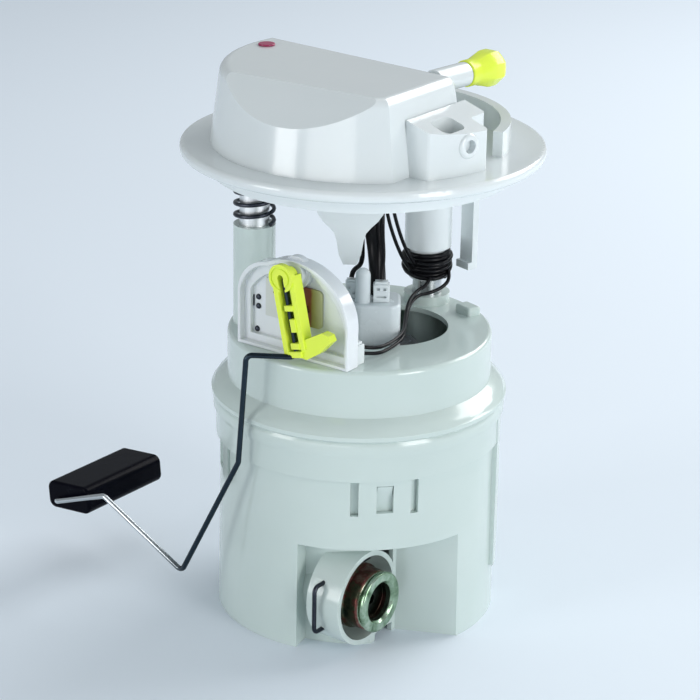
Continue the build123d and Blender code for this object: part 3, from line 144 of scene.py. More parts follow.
class Graph:
    """Node tree of one material, with its shader and output in place."""

    def __init__(self, name: str) -> None:
        """Makes an empty material of that name."""
        self.material = bpy.data.materials.new(name)
        self.material.use_nodes = True
        self.tree = self.material.node_tree
        self.tree.nodes.clear()
        self.shader = self.tree.nodes.new("ShaderNodeBsdfPrincipled")
        self.output = self.tree.nodes.new("ShaderNodeOutputMaterial")
        self.tree.links.new(self.shader.outputs[0], self.output.inputs[0])
        self.place = self.add("ShaderNodeTexCoord").outputs["Object"]

    def add(
        self,
        kind: str,
        settings: Mapping[str, object] | None = None,
        sockets: Mapping[str | int, object] | None = None,
    ) -> bpy.types.Node:
        """Adds a node, sets it, then fills or links its sockets.

        Args:
            kind: Blender's type of the node.
            settings: Properties by name; "stops" fills a colour ramp with (position, colour) pairs.
            sockets: Values or signals by the socket's name or number.

        Returns:
            The new node.
        """
        node = self.tree.nodes.new(kind)
        for name, value in (settings or {}).items():
            if name == "stops":
                self._fill_ramp(node.color_ramp, value)
            else:
                setattr(node, name, value)
        for name, value in (sockets or {}).items():
            self._feed(node.inputs[name], value)
        return node

    def _fill_ramp(self, ramp: bpy.types.ColorRamp, stops: Sequence[tuple[float, Colour]]) -> None:
        """Fills a ramp with its stops, from low to high."""
        while len(ramp.elements) < len(stops):
            ramp.elements.new(1.0)
        for element, (position, colour) in zip(ramp.elements, stops):
            element.position = position
            element.color = (*colour, 1.0)

    def _feed(self, socket: bpy.types.NodeSocket, value: object) -> None:
        """Links a signal to a socket or sets its value."""
        if isinstance(value, Signal):
            self.tree.links.new(value.socket, socket)
        elif isinstance(value, bpy.types.NodeSocket):
            self.tree.links.new(value, socket)
        elif socket.type == "RGBA" and len(value) == 3:
            socket.default_value = (*value, 1.0)
        else:
            socket.default_value = value

    def dress(self, **sockets: object) -> None:
        """Sets the shader's own sockets; underscores stand for spaces in their names."""
        for name, value in sockets.items():
            self._feed(self.shader.inputs[name.replace("_", " ")], value)

    def noise(
        self,
        size_mm: float,
        detail: float = 2.0,
        roughness: float = 0.5,
        offset: float = 0.0,
    ) -> Signal:
        """Noise of a feature size.

        Args:
            size_mm: Size of its features in millimetres.
            detail: Number of finer layers.
            roughness: Strength of the finer layers.
            offset: Shift of the pattern, so that two noises differ.

        Returns:
            Noise from 0 to 1.
        """
        moved = self.add("ShaderNodeVectorMath", {"operation": "ADD"}, {0: self.place, 1: (offset,) * 3})
        node = self.add("ShaderNodeTexNoise", None, {
            "Vector": moved.outputs[0], "Scale": 1.0 / (size_mm * MM),
            "Detail": detail, "Roughness": roughness})
        return Signal(self, node.outputs["Fac"])

    def cells(self, size_mm: float) -> Signal:
        """Distance to the middle of cells of a size in millimetres."""
        scale = 1.0 / (size_mm * MM)
        node = self.add("ShaderNodeTexVoronoi", None, {"Vector": self.place, "Scale": scale})
        return Signal(self, node.outputs["Distance"])

    def along(self, axis: str) -> Signal:
        """Coordinate in metres along X, Y or Z."""
        node = self.add("ShaderNodeSeparateXYZ", None, {"Vector": self.place})
        return Signal(self, node.outputs[axis])

    def step(self, value: Signal, low: float, high: float) -> Signal:
        """Factor that goes from 0 to 1 while a value goes from one bound to the other."""
        node = self.add("ShaderNodeMapRange", {"clamp": True}, {
            "Value": value, "From Min": low, "From Max": high, "To Min": 0.0, "To Max": 1.0})
        return Signal(self, node.outputs["Result"])

    def ramp(self, factor: Signal, stops: Sequence[tuple[float, Colour]]) -> Signal:
        """Colour of a ramp at a factor."""
        node = self.add("ShaderNodeValToRGB", {"stops": stops}, {"Fac": factor})
        return Signal(self, node.outputs["Color"])

    def blend(self, factor: "Signal | float", first: object, second: object) -> Signal:
        """Mixes two colours by a factor."""
        node = self.add("ShaderNodeMix", {"data_type": "RGBA"}, {"Factor": factor, 6: first, 7: second})
        return Signal(self, node.outputs[2])

    def span(self, value: Signal, low: float, high: float) -> Signal:
        """Stretches a value from 0..1 to a range."""
        return value * (high - low) + low

    def about(self, value: Signal, middle: float, least: float, most: float) -> Signal:
        """Stretches a value from 0..1 to shares of a middle value."""
        return self.span(value, middle * least, middle * most)

    def bump(self, height: Signal, strength: float, depth_mm: float) -> Signal:
        """Normal bent by a height, up to a depth in millimetres."""
        node = self.add("ShaderNodeBump", None, {
            "Strength": strength, "Distance": depth_mm * MM, "Height": height})
        return Signal(self, node.outputs["Normal"])


@dataclass(frozen=True)
class Finish:
    """Look of one material."""

    name: str

    def build(self) -> bpy.types.Material:
        """Builds the material."""
        graph = Graph(self.name)
        self.paint(graph)
        return graph.material

    def paint(self, graph: Graph) -> None:
        """Sets the shader."""
        raise NotImplementedError


@dataclass(frozen=True)
class MouldedPlastic(Finish):
    """Injection-moulded plastic: soft sheen, faint flow waves and a slightly uneven tone."""

    colour: Colour
    tone: Colour
    roughness: float = 0.24
    wave_mm: float = 14.0
    wave_depth_mm: float = 0.05
    grain_mm: float = 0.35
    subsurface: float = 0.0
    reach_mm: float = 3.0
    coat: float = 0.0

    def paint(self, graph: Graph) -> None:
        """Sets the shader."""
        tone = graph.noise(26.0, 3.0)
        waves = graph.noise(self.wave_mm, 1.0, offset=0.3)
        grain = graph.noise(self.grain_mm, 2.0)
        graph.dress(
            Base_Color=graph.blend(tone, self.colour, self.tone),
            Roughness=graph.about(graph.noise(3.0, 3.0, offset=0.1), self.roughness, 0.8, 1.25),
            Normal=graph.bump(waves + grain * 0.04, 0.5, self.wave_depth_mm),
            IOR=1.55,
            Coat_Weight=self.coat,
            Coat_Roughness=0.06,
            Subsurface_Weight=self.subsurface,
            Subsurface_Radius=(1.0, 1.0, 0.9),
            Subsurface_Scale=self.reach_mm * MM,
        )


@dataclass(frozen=True)
class PlatedMetal(Finish):
    """Metal with a drawn grain and a patchy plated colour."""

    colours: tuple[Colour, Colour, Colour]
    roughness: float = 0.3
    patch_mm: float = 7.0
    grain_mm: float = 0.25

    def paint(self, graph: Graph) -> None:
        """Sets the shader."""
        patches = graph.noise(self.patch_mm, 3.0, 0.6)
        low, middle, high = self.colours
        grain = graph.noise(self.grain_mm, 2.0, offset=0.2)
        graph.dress(
            Base_Color=graph.ramp(patches, ((0.3, low), (0.5, middle), (0.7, high))),
            Metallic=1.0,
            Roughness=graph.about(graph.noise(2.0, 3.0, offset=0.4), self.roughness, 0.7, 1.4),
            Normal=graph.bump(grain, 0.25, 0.02),
        )


@dataclass(frozen=True)
class BlackFoam(Finish):
    """Closed-cell foam with a tight skin."""

    colour: Colour = (0.002, 0.002, 0.005)
    worn: Colour = (0.005, 0.006, 0.011)
    cell_mm: float = 0.8
    roughness: float = 0.24

    def paint(self, graph: Graph) -> None:
        """Sets the shader."""
        cells = graph.cells(self.cell_mm)
        scuffs = graph.noise(5.0, 4.0, 0.65)
        graph.dress(
            Base_Color=graph.blend(scuffs ** 3.0, self.colour, self.worn),
            Roughness=graph.about(scuffs, self.roughness, 0.8, 1.3),
            Specular_IOR_Level=0.2,
            IOR=1.2,
            Normal=graph.bump(cells * 0.3 + graph.noise(6.0, 2.0) * 2.0, 0.35, 0.1),
        )


@dataclass(frozen=True)
class Rubber(Finish):
    """Black rubber of hoses, seals and the insulation of leads."""

    colour: Colour = (0.003, 0.003, 0.004)
    dusty: Colour = (0.007, 0.007, 0.009)
    roughness: float = 0.3

    def paint(self, graph: Graph) -> None:
        """Sets the shader."""
        dust = graph.noise(4.0, 4.0, 0.6)
        graph.dress(
            Base_Color=graph.blend(dust, self.colour, self.dusty),
            Roughness=graph.about(dust, self.roughness, 0.8, 1.3),
            Specular_IOR_Level=0.2,
            Normal=graph.bump(graph.noise(0.5, 3.0), 0.3, 0.04),
        )


@dataclass(frozen=True)
class PleatedPaper(Finish):
    """Resin-treated filter paper."""

    colour: Colour = (0.75, 0.66, 0.44)
    fibre: Colour = (0.62, 0.52, 0.32)

    def paint(self, graph: Graph) -> None:
        """Sets the shader."""
        fibres = graph.noise(0.4, 5.0, 0.7)
        graph.dress(
            Base_Color=graph.blend(fibres, self.colour, self.fibre),
            Roughness=graph.span(fibres, 0.75, 0.95),
            Normal=graph.bump(fibres, 0.5, 0.05),
        )


@dataclass(frozen=True)
class PaintedShadeSplit(Finish):
    """Moulded piece whose colour changes at a coordinate along one axis; its dark colours are painted
    shade, for pieces that sit in shadow inside the pot.
    """

    below: Colour
    above: Colour
    axis: str
    at_mm: float
    over_mm: float = 0.4
    roughness: float = 0.25

    def paint(self, graph: Graph) -> None:
        """Sets the shader."""
        low, high = self.at_mm - self.over_mm, self.at_mm + self.over_mm
        side = graph.step(graph.along(self.axis), low * MM, high * MM)
        tone = graph.noise(8.0, 3.0)
        colour = graph.blend(side, self.below, self.above)
        graph.dress(
            Base_Color=graph.blend(tone * 0.12, colour, (0.02, 0.02, 0.02)),
            Roughness=graph.about(tone, self.roughness, 0.8, 1.3),
            Normal=graph.bump(graph.noise(0.5, 2.0), 0.3, 0.02),
        )


@dataclass(frozen=True)
class CardWithPaintedShadowAndReflection(Finish):
    """Pale card of the sender, with a red-brown band beside the carrier that is painted shadow of the
    carrier, and an olive to yellow-green strip past it that is a painted reflection of the yellow
    carrier.
    """

    left_mm: float = -16.0
    right_mm: float = 12.0

    def paint(self, graph: Graph) -> None:
        """Sets the shader."""
        across = graph.step(graph.along("X"), self.left_mm * MM, self.right_mm * MM)
        painted_band_edge = across + (graph.noise(6.0, 3.0) - 0.5) * 0.06
        graph.dress(
            # Painted shadow and reflection: pale left of the carrier, red-brown painted shadow along its
            # right rail, then olive and yellow-green painted reflection of the yellow carrier.
            Base_Color=graph.ramp(painted_band_edge, (
                (0.52, (0.6, 0.63, 0.6)), (0.62, (0.25, 0.06, 0.03)), (0.8, (0.26, 0.06, 0.03)),
                (0.84, (0.36, 0.34, 0.1)), (0.97, (0.5, 0.51, 0.3)))),
            Roughness=0.4,
            Normal=graph.bump(graph.noise(0.6, 2.0), 0.3, 0.02),
        )


@dataclass(frozen=True)
class BluedWire(Finish):
    """Drawn spring wire, blued near its pivot and bright towards the float."""

    blued: Colour = (0.018, 0.03, 0.042)
    scaled: Colour = (0.04, 0.055, 0.07)
    bright: Colour = (0.55, 0.58, 0.6)
    bright_until_mm: float = -60.0
    blued_from_mm: float = -40.0

    def paint(self, graph: Graph) -> None:
        """Sets the shader."""
        blueing = graph.step(graph.along("X"), self.bright_until_mm * MM, self.blued_from_mm * MM)
        scale = graph.noise(3.0, 3.0, 0.6)
        graph.dress(
            Base_Color=graph.blend(blueing, self.bright, graph.blend(scale, self.blued, self.scaled)),
            Metallic=1.0,
            Roughness=graph.span(scale, 0.16, 0.3),
            Normal=graph.bump(graph.noise(0.4, 2.0), 0.2, 0.02),
        )


@dataclass(frozen=True)
class ChromatedCan(Finish):
    """Yellow-chromated steel can: reddish shell, green-grey nose ring, and a bore painted near-black as
    painted shade.
    """

    axis_y_mm: float = -37.8
    axis_z_mm: float = 21.5
    shaded_bore_mm: float = 7.9
    nose_x_mm: float = 37.4

    def paint(self, graph: Graph) -> None:
        """Sets the shader."""
        shell = graph.ramp(graph.noise(7.0, 3.0, 0.6), (
            (0.32, (0.03, 0.045, 0.03)), (0.46, (0.1, 0.1, 0.06)),
            (0.56, (0.17, 0.05, 0.045)), (0.7, (0.3, 0.2, 0.16))))
        nose = graph.ramp(graph.noise(5.0, 3.0, 0.6, 0.2), (
            (0.3, (0.08, 0.15, 0.08)), (0.5, (0.3, 0.42, 0.3)), (0.7, (0.5, 0.6, 0.5))))
        offset_y = graph.along("Y") - self.axis_y_mm * MM
        offset_z = graph.along("Z") - self.axis_z_mm * MM
        radius = (offset_y * offset_y + offset_z * offset_z) ** 0.5
        outside_shaded_bore = graph.step(radius, (self.shaded_bore_mm - 0.4) * MM, self.shaded_bore_mm * MM)
        on_nose = graph.step(graph.along("X"), (self.nose_x_mm - 0.3) * MM, self.nose_x_mm * MM)
        colour = graph.blend(on_nose, shell, nose)
        graph.dress(
            # Painted shade: inside the bore's radius the colour is near-black.
            Base_Color=graph.blend(outside_shaded_bore, (0.006, 0.008, 0.006), colour),
            Metallic=0.9,
            Roughness=graph.span(graph.noise(2.0, 3.0, offset=0.4), 0.14, 0.3),
            Normal=graph.bump(graph.noise(0.5, 2.0), 0.2, 0.02),
        )


FINISHES = {
    Slot.WHITE_PLASTIC: MouldedPlastic(
        "white_plastic", (0.73, 0.775, 0.785), (0.69, 0.745, 0.755),
        roughness=0.16, subsurface=0.12, coat=0.3),
    Slot.CLEAR_WHITE_PLASTIC: MouldedPlastic(
        "clear_white_plastic", (0.77, 0.8, 0.83), (0.72, 0.76, 0.785),
        roughness=0.16, subsurface=0.3, coat=0.3),
    Slot.GREY_PLASTIC: MouldedPlastic("grey_plastic", (0.42, 0.46, 0.48), (0.38, 0.42, 0.44)),
    Slot.YELLOW_PLASTIC: MouldedPlastic(
        "yellow_plastic", (0.8, 0.95, 0.08), (0.74, 0.9, 0.06), roughness=0.2, subsurface=0.15),
    Slot.RED_PLASTIC: MouldedPlastic("red_plastic", (0.4, 0.02, 0.1), (0.3, 0.015, 0.08)),
    Slot.BLACK_RUBBER: Rubber("black_rubber"),
    Slot.BLACK_FOAM: BlackFoam("black_foam"),
    Slot.STEEL: PlatedMetal("steel", ((0.42, 0.44, 0.45), (0.52, 0.54, 0.55), (0.6, 0.62, 0.63)), 0.28),
    Slot.DARK_SPRING_STEEL: PlatedMetal(
        "dark_spring_steel", ((0.03, 0.035, 0.045), (0.05, 0.055, 0.07), (0.09, 0.095, 0.11)), 0.3),
    Slot.ZINC_CHROMATE: PlatedMetal(
        "zinc_chromate", ((0.14, 0.2, 0.1), (0.3, 0.34, 0.16), (0.34, 0.24, 0.22)), 0.26, 9.0),
    Slot.BRASS: PlatedMetal("brass", ((0.6, 0.46, 0.2), (0.72, 0.56, 0.26), (0.78, 0.63, 0.32)), 0.25),
    Slot.COPPER_WOUND: PlatedMetal(
        "copper_wound", ((0.3, 0.12, 0.05), (0.5, 0.22, 0.1), (0.6, 0.3, 0.16)), 0.35, 2.0),
    Slot.CERAMIC_CARD: MouldedPlastic(
        "ceramic_card", (0.36, 0.29, 0.22), (0.3, 0.23, 0.17), roughness=0.5),
    Slot.FILTER_PAPER: PleatedPaper("filter_paper"),
}

SOFT_EDGES = {
    "reservoir_pot": 0.35, "reservoir_cover": 0.35, "flange": 0.4, "pump_end_cap": 0.4,
    "regulator_body": 0.25, "pump_bucket": 0.3, "marker_plug": 0.3, "connector_pins": 0.1,
    "wiper_contact": 0.15,
}

MILKY_PLASTIC = MouldedPlastic(
    "milky_pot_plastic", (0.585, 0.67, 0.645), (0.535, 0.63, 0.6),
    roughness=0.17, subsurface=0.2, coat=0.3)

NODE_FINISHES = {
    "reservoir_pot": MILKY_PLASTIC,
    "reservoir_cover": MILKY_PLASTIC,
    "guide_rod_left": PlatedMetal(
        "ground_guide_rod", ((0.72, 0.74, 0.75), (0.8, 0.82, 0.83), (0.86, 0.88, 0.89)), 0.4),
    "resistor_card": CardWithPaintedShadowAndReflection("sender_card"),
    # Painted shade: the end cap is painted near-black below 113 mm, and the pump can near-black all
    # over, as the shade inside the pot.
    "pump_end_cap": PaintedShadeSplit(
        "pump_end_cap_painted_shade_below", (0.01, 0.013, 0.02), (0.66, 0.72, 0.74), "Z", 113.0),
    "pump_casing": PaintedShadeSplit(
        "pump_can_in_shade", (0.02, 0.022, 0.028), (0.02, 0.022, 0.028), "Z", 60.0),
    "float_arm": BluedWire("blued_arm_wire"),
    "regulator_body": ChromatedCan("chromated_regulator"),
    "resistor_track": MouldedPlastic(
        "resistor_ink", (0.1, 0.012, 0.01), (0.05, 0.01, 0.01), roughness=0.35),
}

NODE_SLOTS = {
    Slot.WHITE_PLASTIC: (
        "reservoir_pot", "reservoir_cover", "sender_housing", "flange", "filter_cover", "sender_plug",
        "pump_plug_left", "pump_plug_right", "jet_pump", "pump_bucket"),
    Slot.GREY_PLASTIC: ("pump_end_cap", "pump_inlet", "pump_impeller", "inlet_strainer"),
    Slot.YELLOW_PLASTIC: ("lever_carrier", "outlet_cap"),
    Slot.RED_PLASTIC: ("marker_plug",),
    Slot.BLACK_RUBBER: (
        "feed_hose", "pump_lead_right", "pump_lead_left", "sender_leads_upper", "sender_leads_lower",
        "lead_coil", "regulator_seals", "inlet_valve", "pump_mount"),
    Slot.BLACK_FOAM: ("float",),
    Slot.STEEL: ("pump_casing", "guide_rod_left", "guide_rod_right", "float_arm"),
    Slot.DARK_SPRING_STEEL: (
        "guide_spring_left", "guide_spring_right", "regulator_clip", "pump_magnets"),
    Slot.ZINC_CHROMATE: ("regulator_body",),
    Slot.BRASS: ("sender_terminals", "wiper_contact", "connector_pins"),
    Slot.COPPER_WOUND: ("pump_rotor",),
    Slot.CERAMIC_CARD: ("resistor_card", "resistor_track"),
    Slot.FILTER_PAPER: ("filter_element",),
}


def coated(piece: Piece, material: bpy.types.Material) -> None:
    """Gives a piece one material in place of those that it has."""
    piece.data.materials.clear()
    piece.data.materials.append(material)


class Workshop:
    """Materials by slot, and what every piece goes through once its mesh stands."""

    def __init__(self) -> None:
        """Builds each slot's material once."""
        self.materials = {slot: finish.build() for slot, finish in FINISHES.items()}

    def dress(self, piece: Piece, slot: Slot) -> None:
        """Gives a piece its slot's material."""
        coated(piece, self.materials[slot])

    def finish(self, piece: Piece, slot: Slot, body: Body, node: str) -> None:
        """Dresses a new piece and puts it on its body.

        Args:
            piece: The piece, in place.
            slot: Material slot that it takes its finish from.
            body: Body that it rides on.
            node: CAD node that it stands for.
        """
        self.dress(piece, slot)
        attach(piece, body.value)
        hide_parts(node)
        log.info("piece %s rides on %s", piece.name, body.value)

    def soften(self, piece: Piece, width_mm: float) -> None:
        """Rounds a moulded piece's sharp edges as a mould does, and evens out its shading.

        Args:
            piece: The piece, with its final mesh.
            width_mm: Width of the rounded edge.
        """
        steps = (
            ("join_seams", "WELD", {"merge_threshold": WELD_MM * MM}),
            ("join_flats", "DECIMATE", {
                "decimate_type": "DISSOLVE", "angle_limit": math.radians(FLAT_DEG)}),
            ("round_edges", "BEVEL", {
                "width": width_mm * MM, "segments": 2, "limit_method": "ANGLE",
                "angle_limit": math.radians(EDGE_DEG), "harden_normals": False,
                "use_clamp_overlap": True}),
            ("even_shading", "WEIGHTED_NORMAL", {"keep_sharp": False, "weight": 60}),
        )
        for name, kind, settings in steps:
            modifier = piece.modifiers.new(name, kind)
            for setting, value in settings.items():
                setattr(modifier, setting, value)

    def dress_frame(self) -> None:
        """Gives every CAD node its material, and softens the edges of the moulded ones."""
        for slot, names in NODE_SLOTS.items():
            for name in names:
                self.dress(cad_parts[name], slot)
        own = {finish: finish.build() for finish in NODE_FINISHES.values()}
        for name, finish in NODE_FINISHES.items():
            coated(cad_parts[name], own[finish])
        for name, width_mm in SOFT_EDGES.items():
            self.soften(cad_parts[name], width_mm)
        missing = set(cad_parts) - {name for names in NODE_SLOTS.values() for name in names}
        log.info("CAD nodes without a finish: %s", sorted(missing))


def metres(points: Iterable[Point]) -> list[Vector]:
    """Points in metres from points in millimetres."""
    return [Vector(point) * MM for point in points]


def at(place: Point) -> Matrix:
    """Shift to a place in millimetres."""
    return Matrix.Translation(Vector(place) * MM)


def turned(angle_deg: float, axis: str) -> Matrix:
    """Turn about X, Y or Z."""
    return Matrix.Rotation(math.radians(angle_deg), 4, axis)


def placed(name: str, data: bpy.types.ID) -> Piece:
    """Object of that data, linked to the scene."""
    piece = bpy.data.objects.new(name, data)
    bpy.context.scene.collection.objects.link(piece)
    return piece


def smooth_cord(name: str, routes: Sequence[Sequence[Point]], radius_mm: float) -> Piece:
    """Round cord on one smooth spline for each route.

    Args:
        name: Name of the piece.
        routes: Control points of each spline, in millimetres.
        radius_mm: Radius of the cord.

    Returns:
        The curve object.
    """
    curve = bpy.data.curves.new(name, "CURVE")
    curve.dimensions = "3D"
    curve.bevel_depth = radius_mm * MM
    curve.bevel_resolution = CORD_SIDES
    curve.use_fill_caps = True
    for route in routes:
        spline = curve.splines.new("NURBS")
        spline.points.add(len(route) - 1)
        for knot, place in zip(spline.points, metres(route)):
            knot.co = (*place, 1.0)
        spline.order_u = 3
        spline.use_endpoint_u = True
        spline.resolution_u = CORD_STEPS
    return placed(name, curve)


def final_mesh(piece: Piece) -> bpy.types.Mesh:
    """Mesh of a piece as its modifiers or its curve leave it."""
    graph = bpy.context.evaluated_depsgraph_get()
    return bpy.data.meshes.new_from_object(piece.evaluated_get(graph))


def meshed(piece: Piece) -> Piece:
    """Mesh object in place of a curve object, with its name and smooth faces."""
    name = piece.name
    mesh = final_mesh(piece)
    bpy.data.objects.remove(piece)
    mesh.shade_smooth()
    return placed(name, mesh)


def wound_wire(
    name: str,
    centre: Flat,
    radius_mm: float,
    wire_mm: float,
    turns: float,
    ends_mm: Flat,
) -> Piece:
    """Helical wire round an upright axis.

    Args:
        name: Name of the piece.
        centre: The axis in plan, in millimetres.
        radius_mm: Radius of the coil at the wire's middle.
        wire_mm: Radius of the wire.
        turns: Number of turns.
        ends_mm: Heights between which the wire lies, with its thickness.

    Returns:
        The curve object.
    """
    x, y = centre
    bottom, top = ends_mm[0] + wire_mm, ends_mm[1] - wire_mm
    points = []
    for k in range(int(turns * COIL_STEPS) + 1):
        turn = k / COIL_STEPS
        angle = 2 * math.pi * turn
        z = bottom + turn / turns * (top - bottom)
        points.append((x + radius_mm * math.cos(angle), y + radius_mm * math.sin(angle), z))
    return smooth_cord(name, [points], wire_mm)


def line_of(route: Sequence[Point]) -> list[list[float]]:
    """Points of a route's smooth spline, in metres."""
    curve = smooth_cord("line", [route], 0.0)
    mesh = final_mesh(curve)
    points = [list(vertex.co) for vertex in mesh.vertices]
    bpy.data.objects.remove(curve)
    bpy.data.meshes.remove(mesh)
    return points


def shaded(mesh: bpy.types.Mesh, sharp_deg: float = SHARP_DEG) -> bpy.types.Mesh:
    """Smooth faces that meet at less than an angle, sharp ones elsewhere."""
    mesh.shade_smooth()
    mesh.set_sharp_from_angle(angle=math.radians(sharp_deg))
    return mesh


def formed(name: str, form: bmesh.types.BMesh) -> Piece:
    """Object from a form, which is used up."""
    mesh = bpy.data.meshes.new(name)
    form.to_mesh(mesh)
    form.free()
    return placed(name, mesh)


def cuboid(centre: Point, size: Point, edge_mm: float) -> Piece:
    """Scratch block, in millimetres.

    Args:
        centre: Its centre.
        size: Its size along X, Y and Z.
        edge_mm: Radius of its rounded edges, or 0.

    Returns:
        The mesh object.
    """
    form = bmesh.new()
    bmesh.ops.create_cube(form, size=1.0)
    bmesh.ops.scale(form, vec=Vector(size) * MM, verts=form.verts)
    if edge_mm:
        bmesh.ops.bevel(
            form, geom=list(form.edges), offset=edge_mm * MM, segments=3, profile=0.5,
            affect="EDGES", clamp_overlap=True)
    bmesh.ops.translate(form, vec=Vector(centre) * MM, verts=form.verts)
    return formed("block", form)


def plate(outline: Sequence[Flat], back_mm: float, front_mm: float) -> Piece:
    """Scratch solid between two depths along Y.

    Args:
        outline: Its outline in X and Z.
        back_mm: Depth of its back along Y.
        front_mm: Depth of its front along Y.

    Returns:
        The mesh object.
    """
    form = bmesh.new()
    face = form.faces.new([form.verts.new(Vector((x, back_mm, z)) * MM) for x, z in outline])
    moved = bmesh.ops.extrude_face_region(form, geom=[face])["geom"]
    corners_moved = [part for part in moved if isinstance(part, bmesh.types.BMVert)]
    bmesh.ops.translate(form, vec=Vector((0, front_mm - back_mm, 0)) * MM, verts=corners_moved)
    bmesh.ops.recalc_face_normals(form, faces=form.faces)
    return formed("plate", form)


def disc(centre: Flat, radius: float, back_mm: float, front_mm: float) -> Piece:
    """Scratch disc round a place in X and Z, between two depths along Y."""
    x, z = centre
    turn = 2 * math.pi / ROUND_STEPS
    outline = [
        (x + radius * math.cos(turn * k), z + radius * math.sin(turn * k)) for k in range(ROUND_STEPS)]
    return plate(outline, back_mm, front_mm)


def arc_through(first: Flat, middle: Flat, last: Flat) -> list[Flat]:
    """Points on the arc through three points, without the last one."""
    (ax, az), (bx, bz), (cx, cz) = first, middle, last
    twice = 2 * (ax * (bz - cz) + bx * (cz - az) + cx * (az - bz))
    a2, b2, c2 = ax * ax + az * az, bx * bx + bz * bz, cx * cx + cz * cz
    x = (a2 * (bz - cz) + b2 * (cz - az) + c2 * (az - bz)) / twice
    z = (a2 * (cx - bx) + b2 * (ax - cx) + c2 * (bx - ax)) / twice
    radius = math.hypot(ax - x, az - z)
    start = math.atan2(az - z, ax - x)
    sweep = (math.atan2(cz - z, cx - x) - start + math.pi) % (2 * math.pi) - math.pi
    points = []
    for k in range(ARC_STEPS):
        angle = start + sweep * k / ARC_STEPS
        points.append((x + radius * math.cos(angle), z + radius * math.sin(angle)))
    return points


def combined(
    name: str,
    solids: Sequence[Piece],
    cuts: Sequence[Piece] = (),
) -> Piece:
    """Scratch solids joined into one mesh, with others cut out of it.

    Args:
        name: Name of the piece.
        solids: Scratch solids to join.
        cuts: Scratch solids to cut out.

    Returns:
        The finished mesh object; the scratch solids are gone.
    """
    base = solids[0]
    steps = [(solid, "UNION") for solid in solids[1:]] + [(cut, "DIFFERENCE") for cut in cuts]
    for tool, operation in steps:
        modifier = base.modifiers.new(operation.lower(), "BOOLEAN")
        modifier.object = tool
        modifier.operation = operation
        modifier.solver = "EXACT"
    mesh = shaded(final_mesh(base))
    for scratch in [*solids, *cuts]:
        bpy.data.objects.remove(scratch)
    return placed(name, mesh)


def lathed(
    name: str,
    rings: Sequence[Point],
    steps: int,
    facets: int = 0,
) -> Piece:
    """Form turned about Z, with flats where its rings ask for them.

    Args:
        name: Name of the piece.
        rings: Radius, height and share of flatness of each ring, in millimetres.
        steps: Points round each ring.
        facets: Number of flats, or 0.

    Returns:
        The mesh object.
    """
    form = bmesh.new()
    loops = []
    for radius, height, flatness in rings:
        loop = []
        for k in range(steps):
            angle = 2 * math.pi * k / steps
            shrink = 1.0
            if facets:
                half = math.pi / facets
                within = (angle + half) % (2 * half) - half
                shrink = 1.0 + flatness * (math.cos(half) / math.cos(within) - 1.0)
            flat_r = radius * shrink
            place = Vector((flat_r * math.cos(angle), flat_r * math.sin(angle), height))
            loop.append(form.verts.new(place * MM))
        loops.append(loop)
    for lower, upper in zip(loops, loops[1:]):
        for k in range(steps):
            form.faces.new((lower[k], lower[(k + 1) % steps], upper[(k + 1) % steps], upper[k]))
    form.faces.new(loops[-1])
    form.faces.new(list(reversed(loops[0])))
    bmesh.ops.recalc_face_normals(form, faces=form.faces)
    piece = formed(name, form)
    shaded(piece.data, LATHED_SHARP_DEG)
    return piece


@dataclass(frozen=True)
class Spring:
    """Spring round a guide rod: where its rod stands, and its size in millimetres."""

    name: str
    node: str
    rod_deg: float
    radius: float
    wire: float
    turns: float
    ends: Flat


@dataclass
class Guides:
    """Springs of the two guide rods, and the leads wound round the right one."""

    guide_r: float = 42.8
    springs: tuple[Spring, ...] = (
        Spring("spring_coil_left", "guide_spring_left", LEFT_ROD_DEG, 7.9, 0.85, 5.5, (160.0, 188.0)),
        Spring("spring_coil_right", "guide_spring_right", RIGHT_ROD_DEG, 4.9, 0.7, 9.0, (64.0, 98.0)))
    neck_r: float = 7.65
    winding_bottom: float = 129.5
    winding_top: float = 142.2
    winding_r: float = 0.95
    winding_turns: float = 6.6
    loops: tuple[Point, ...] = (
        (9.2, 132.6, 2.0), (9.8, 133.6, 2.7), (9.6, 135.6, 1.6), (9.9, 138.0, 1.0))
    loop_share: float = 0.9
    loop_front_deg: float = -54.0
    loop_wave: float = 0.35
    travel: float = 6.0

    def centre(self, angle: float) -> Flat:
        """Plan position of a rod."""
        turn = math.radians(angle)
        return self.guide_r * math.cos(turn), self.guide_r * math.sin(turn)

    def build(self, shop: Workshop) -> None:
        """Builds the two springs and the leads wound round the right column."""
        for spring in self.springs:
            self._spring(spring, shop)
        wound = wound_wire(
            "wound_sender_leads", self.centre(RIGHT_ROD_DEG), self.neck_r + self.winding_r,
            self.winding_r, self.winding_turns, (self.winding_bottom, self.winding_top))
        sagging = smooth_cord(
            "sagging_sender_leads", [self._loop(*loop) for loop in self.loops],
            self.winding_r * self.loop_share)
        for piece in (wound, sagging):
            shop.finish(piece, Slot.BLACK_RUBBER, Body.FLANGE, "lead_coil")

    def _spring(self, spring: Spring, shop: Workshop) -> None:
        """Spring under the flange, meshed and set on the flange's body."""
        x, y = self.centre(spring.rod_deg)
        coil = meshed(wound_wire(
            spring.name, (x, y), spring.radius, spring.wire, spring.turns, spring.ends))
        shop.finish(coil, Slot.DARK_SPRING_STEEL, Body.FLANGE, spring.node)
        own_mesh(coil)

    def _loop(self, radius_mm: float, height_mm: float, sag_mm: float) -> list[Point]:
        """Slack turn round the right column's neck, lowest at the front."""
        x, y = self.centre(RIGHT_ROD_DEG)
        front = math.radians(self.loop_front_deg)
        points = []
        for k in range(LOOP_STEPS + 1):
            angle = 2 * math.pi * k / LOOP_STEPS
            away = radius_mm + self.loop_wave * math.sin(3 * angle + radius_mm)
            points.append((
                x + away * math.cos(angle), y + away * math.sin(angle),
                height_mm - sag_mm * math.cos(angle - front)))
        return points


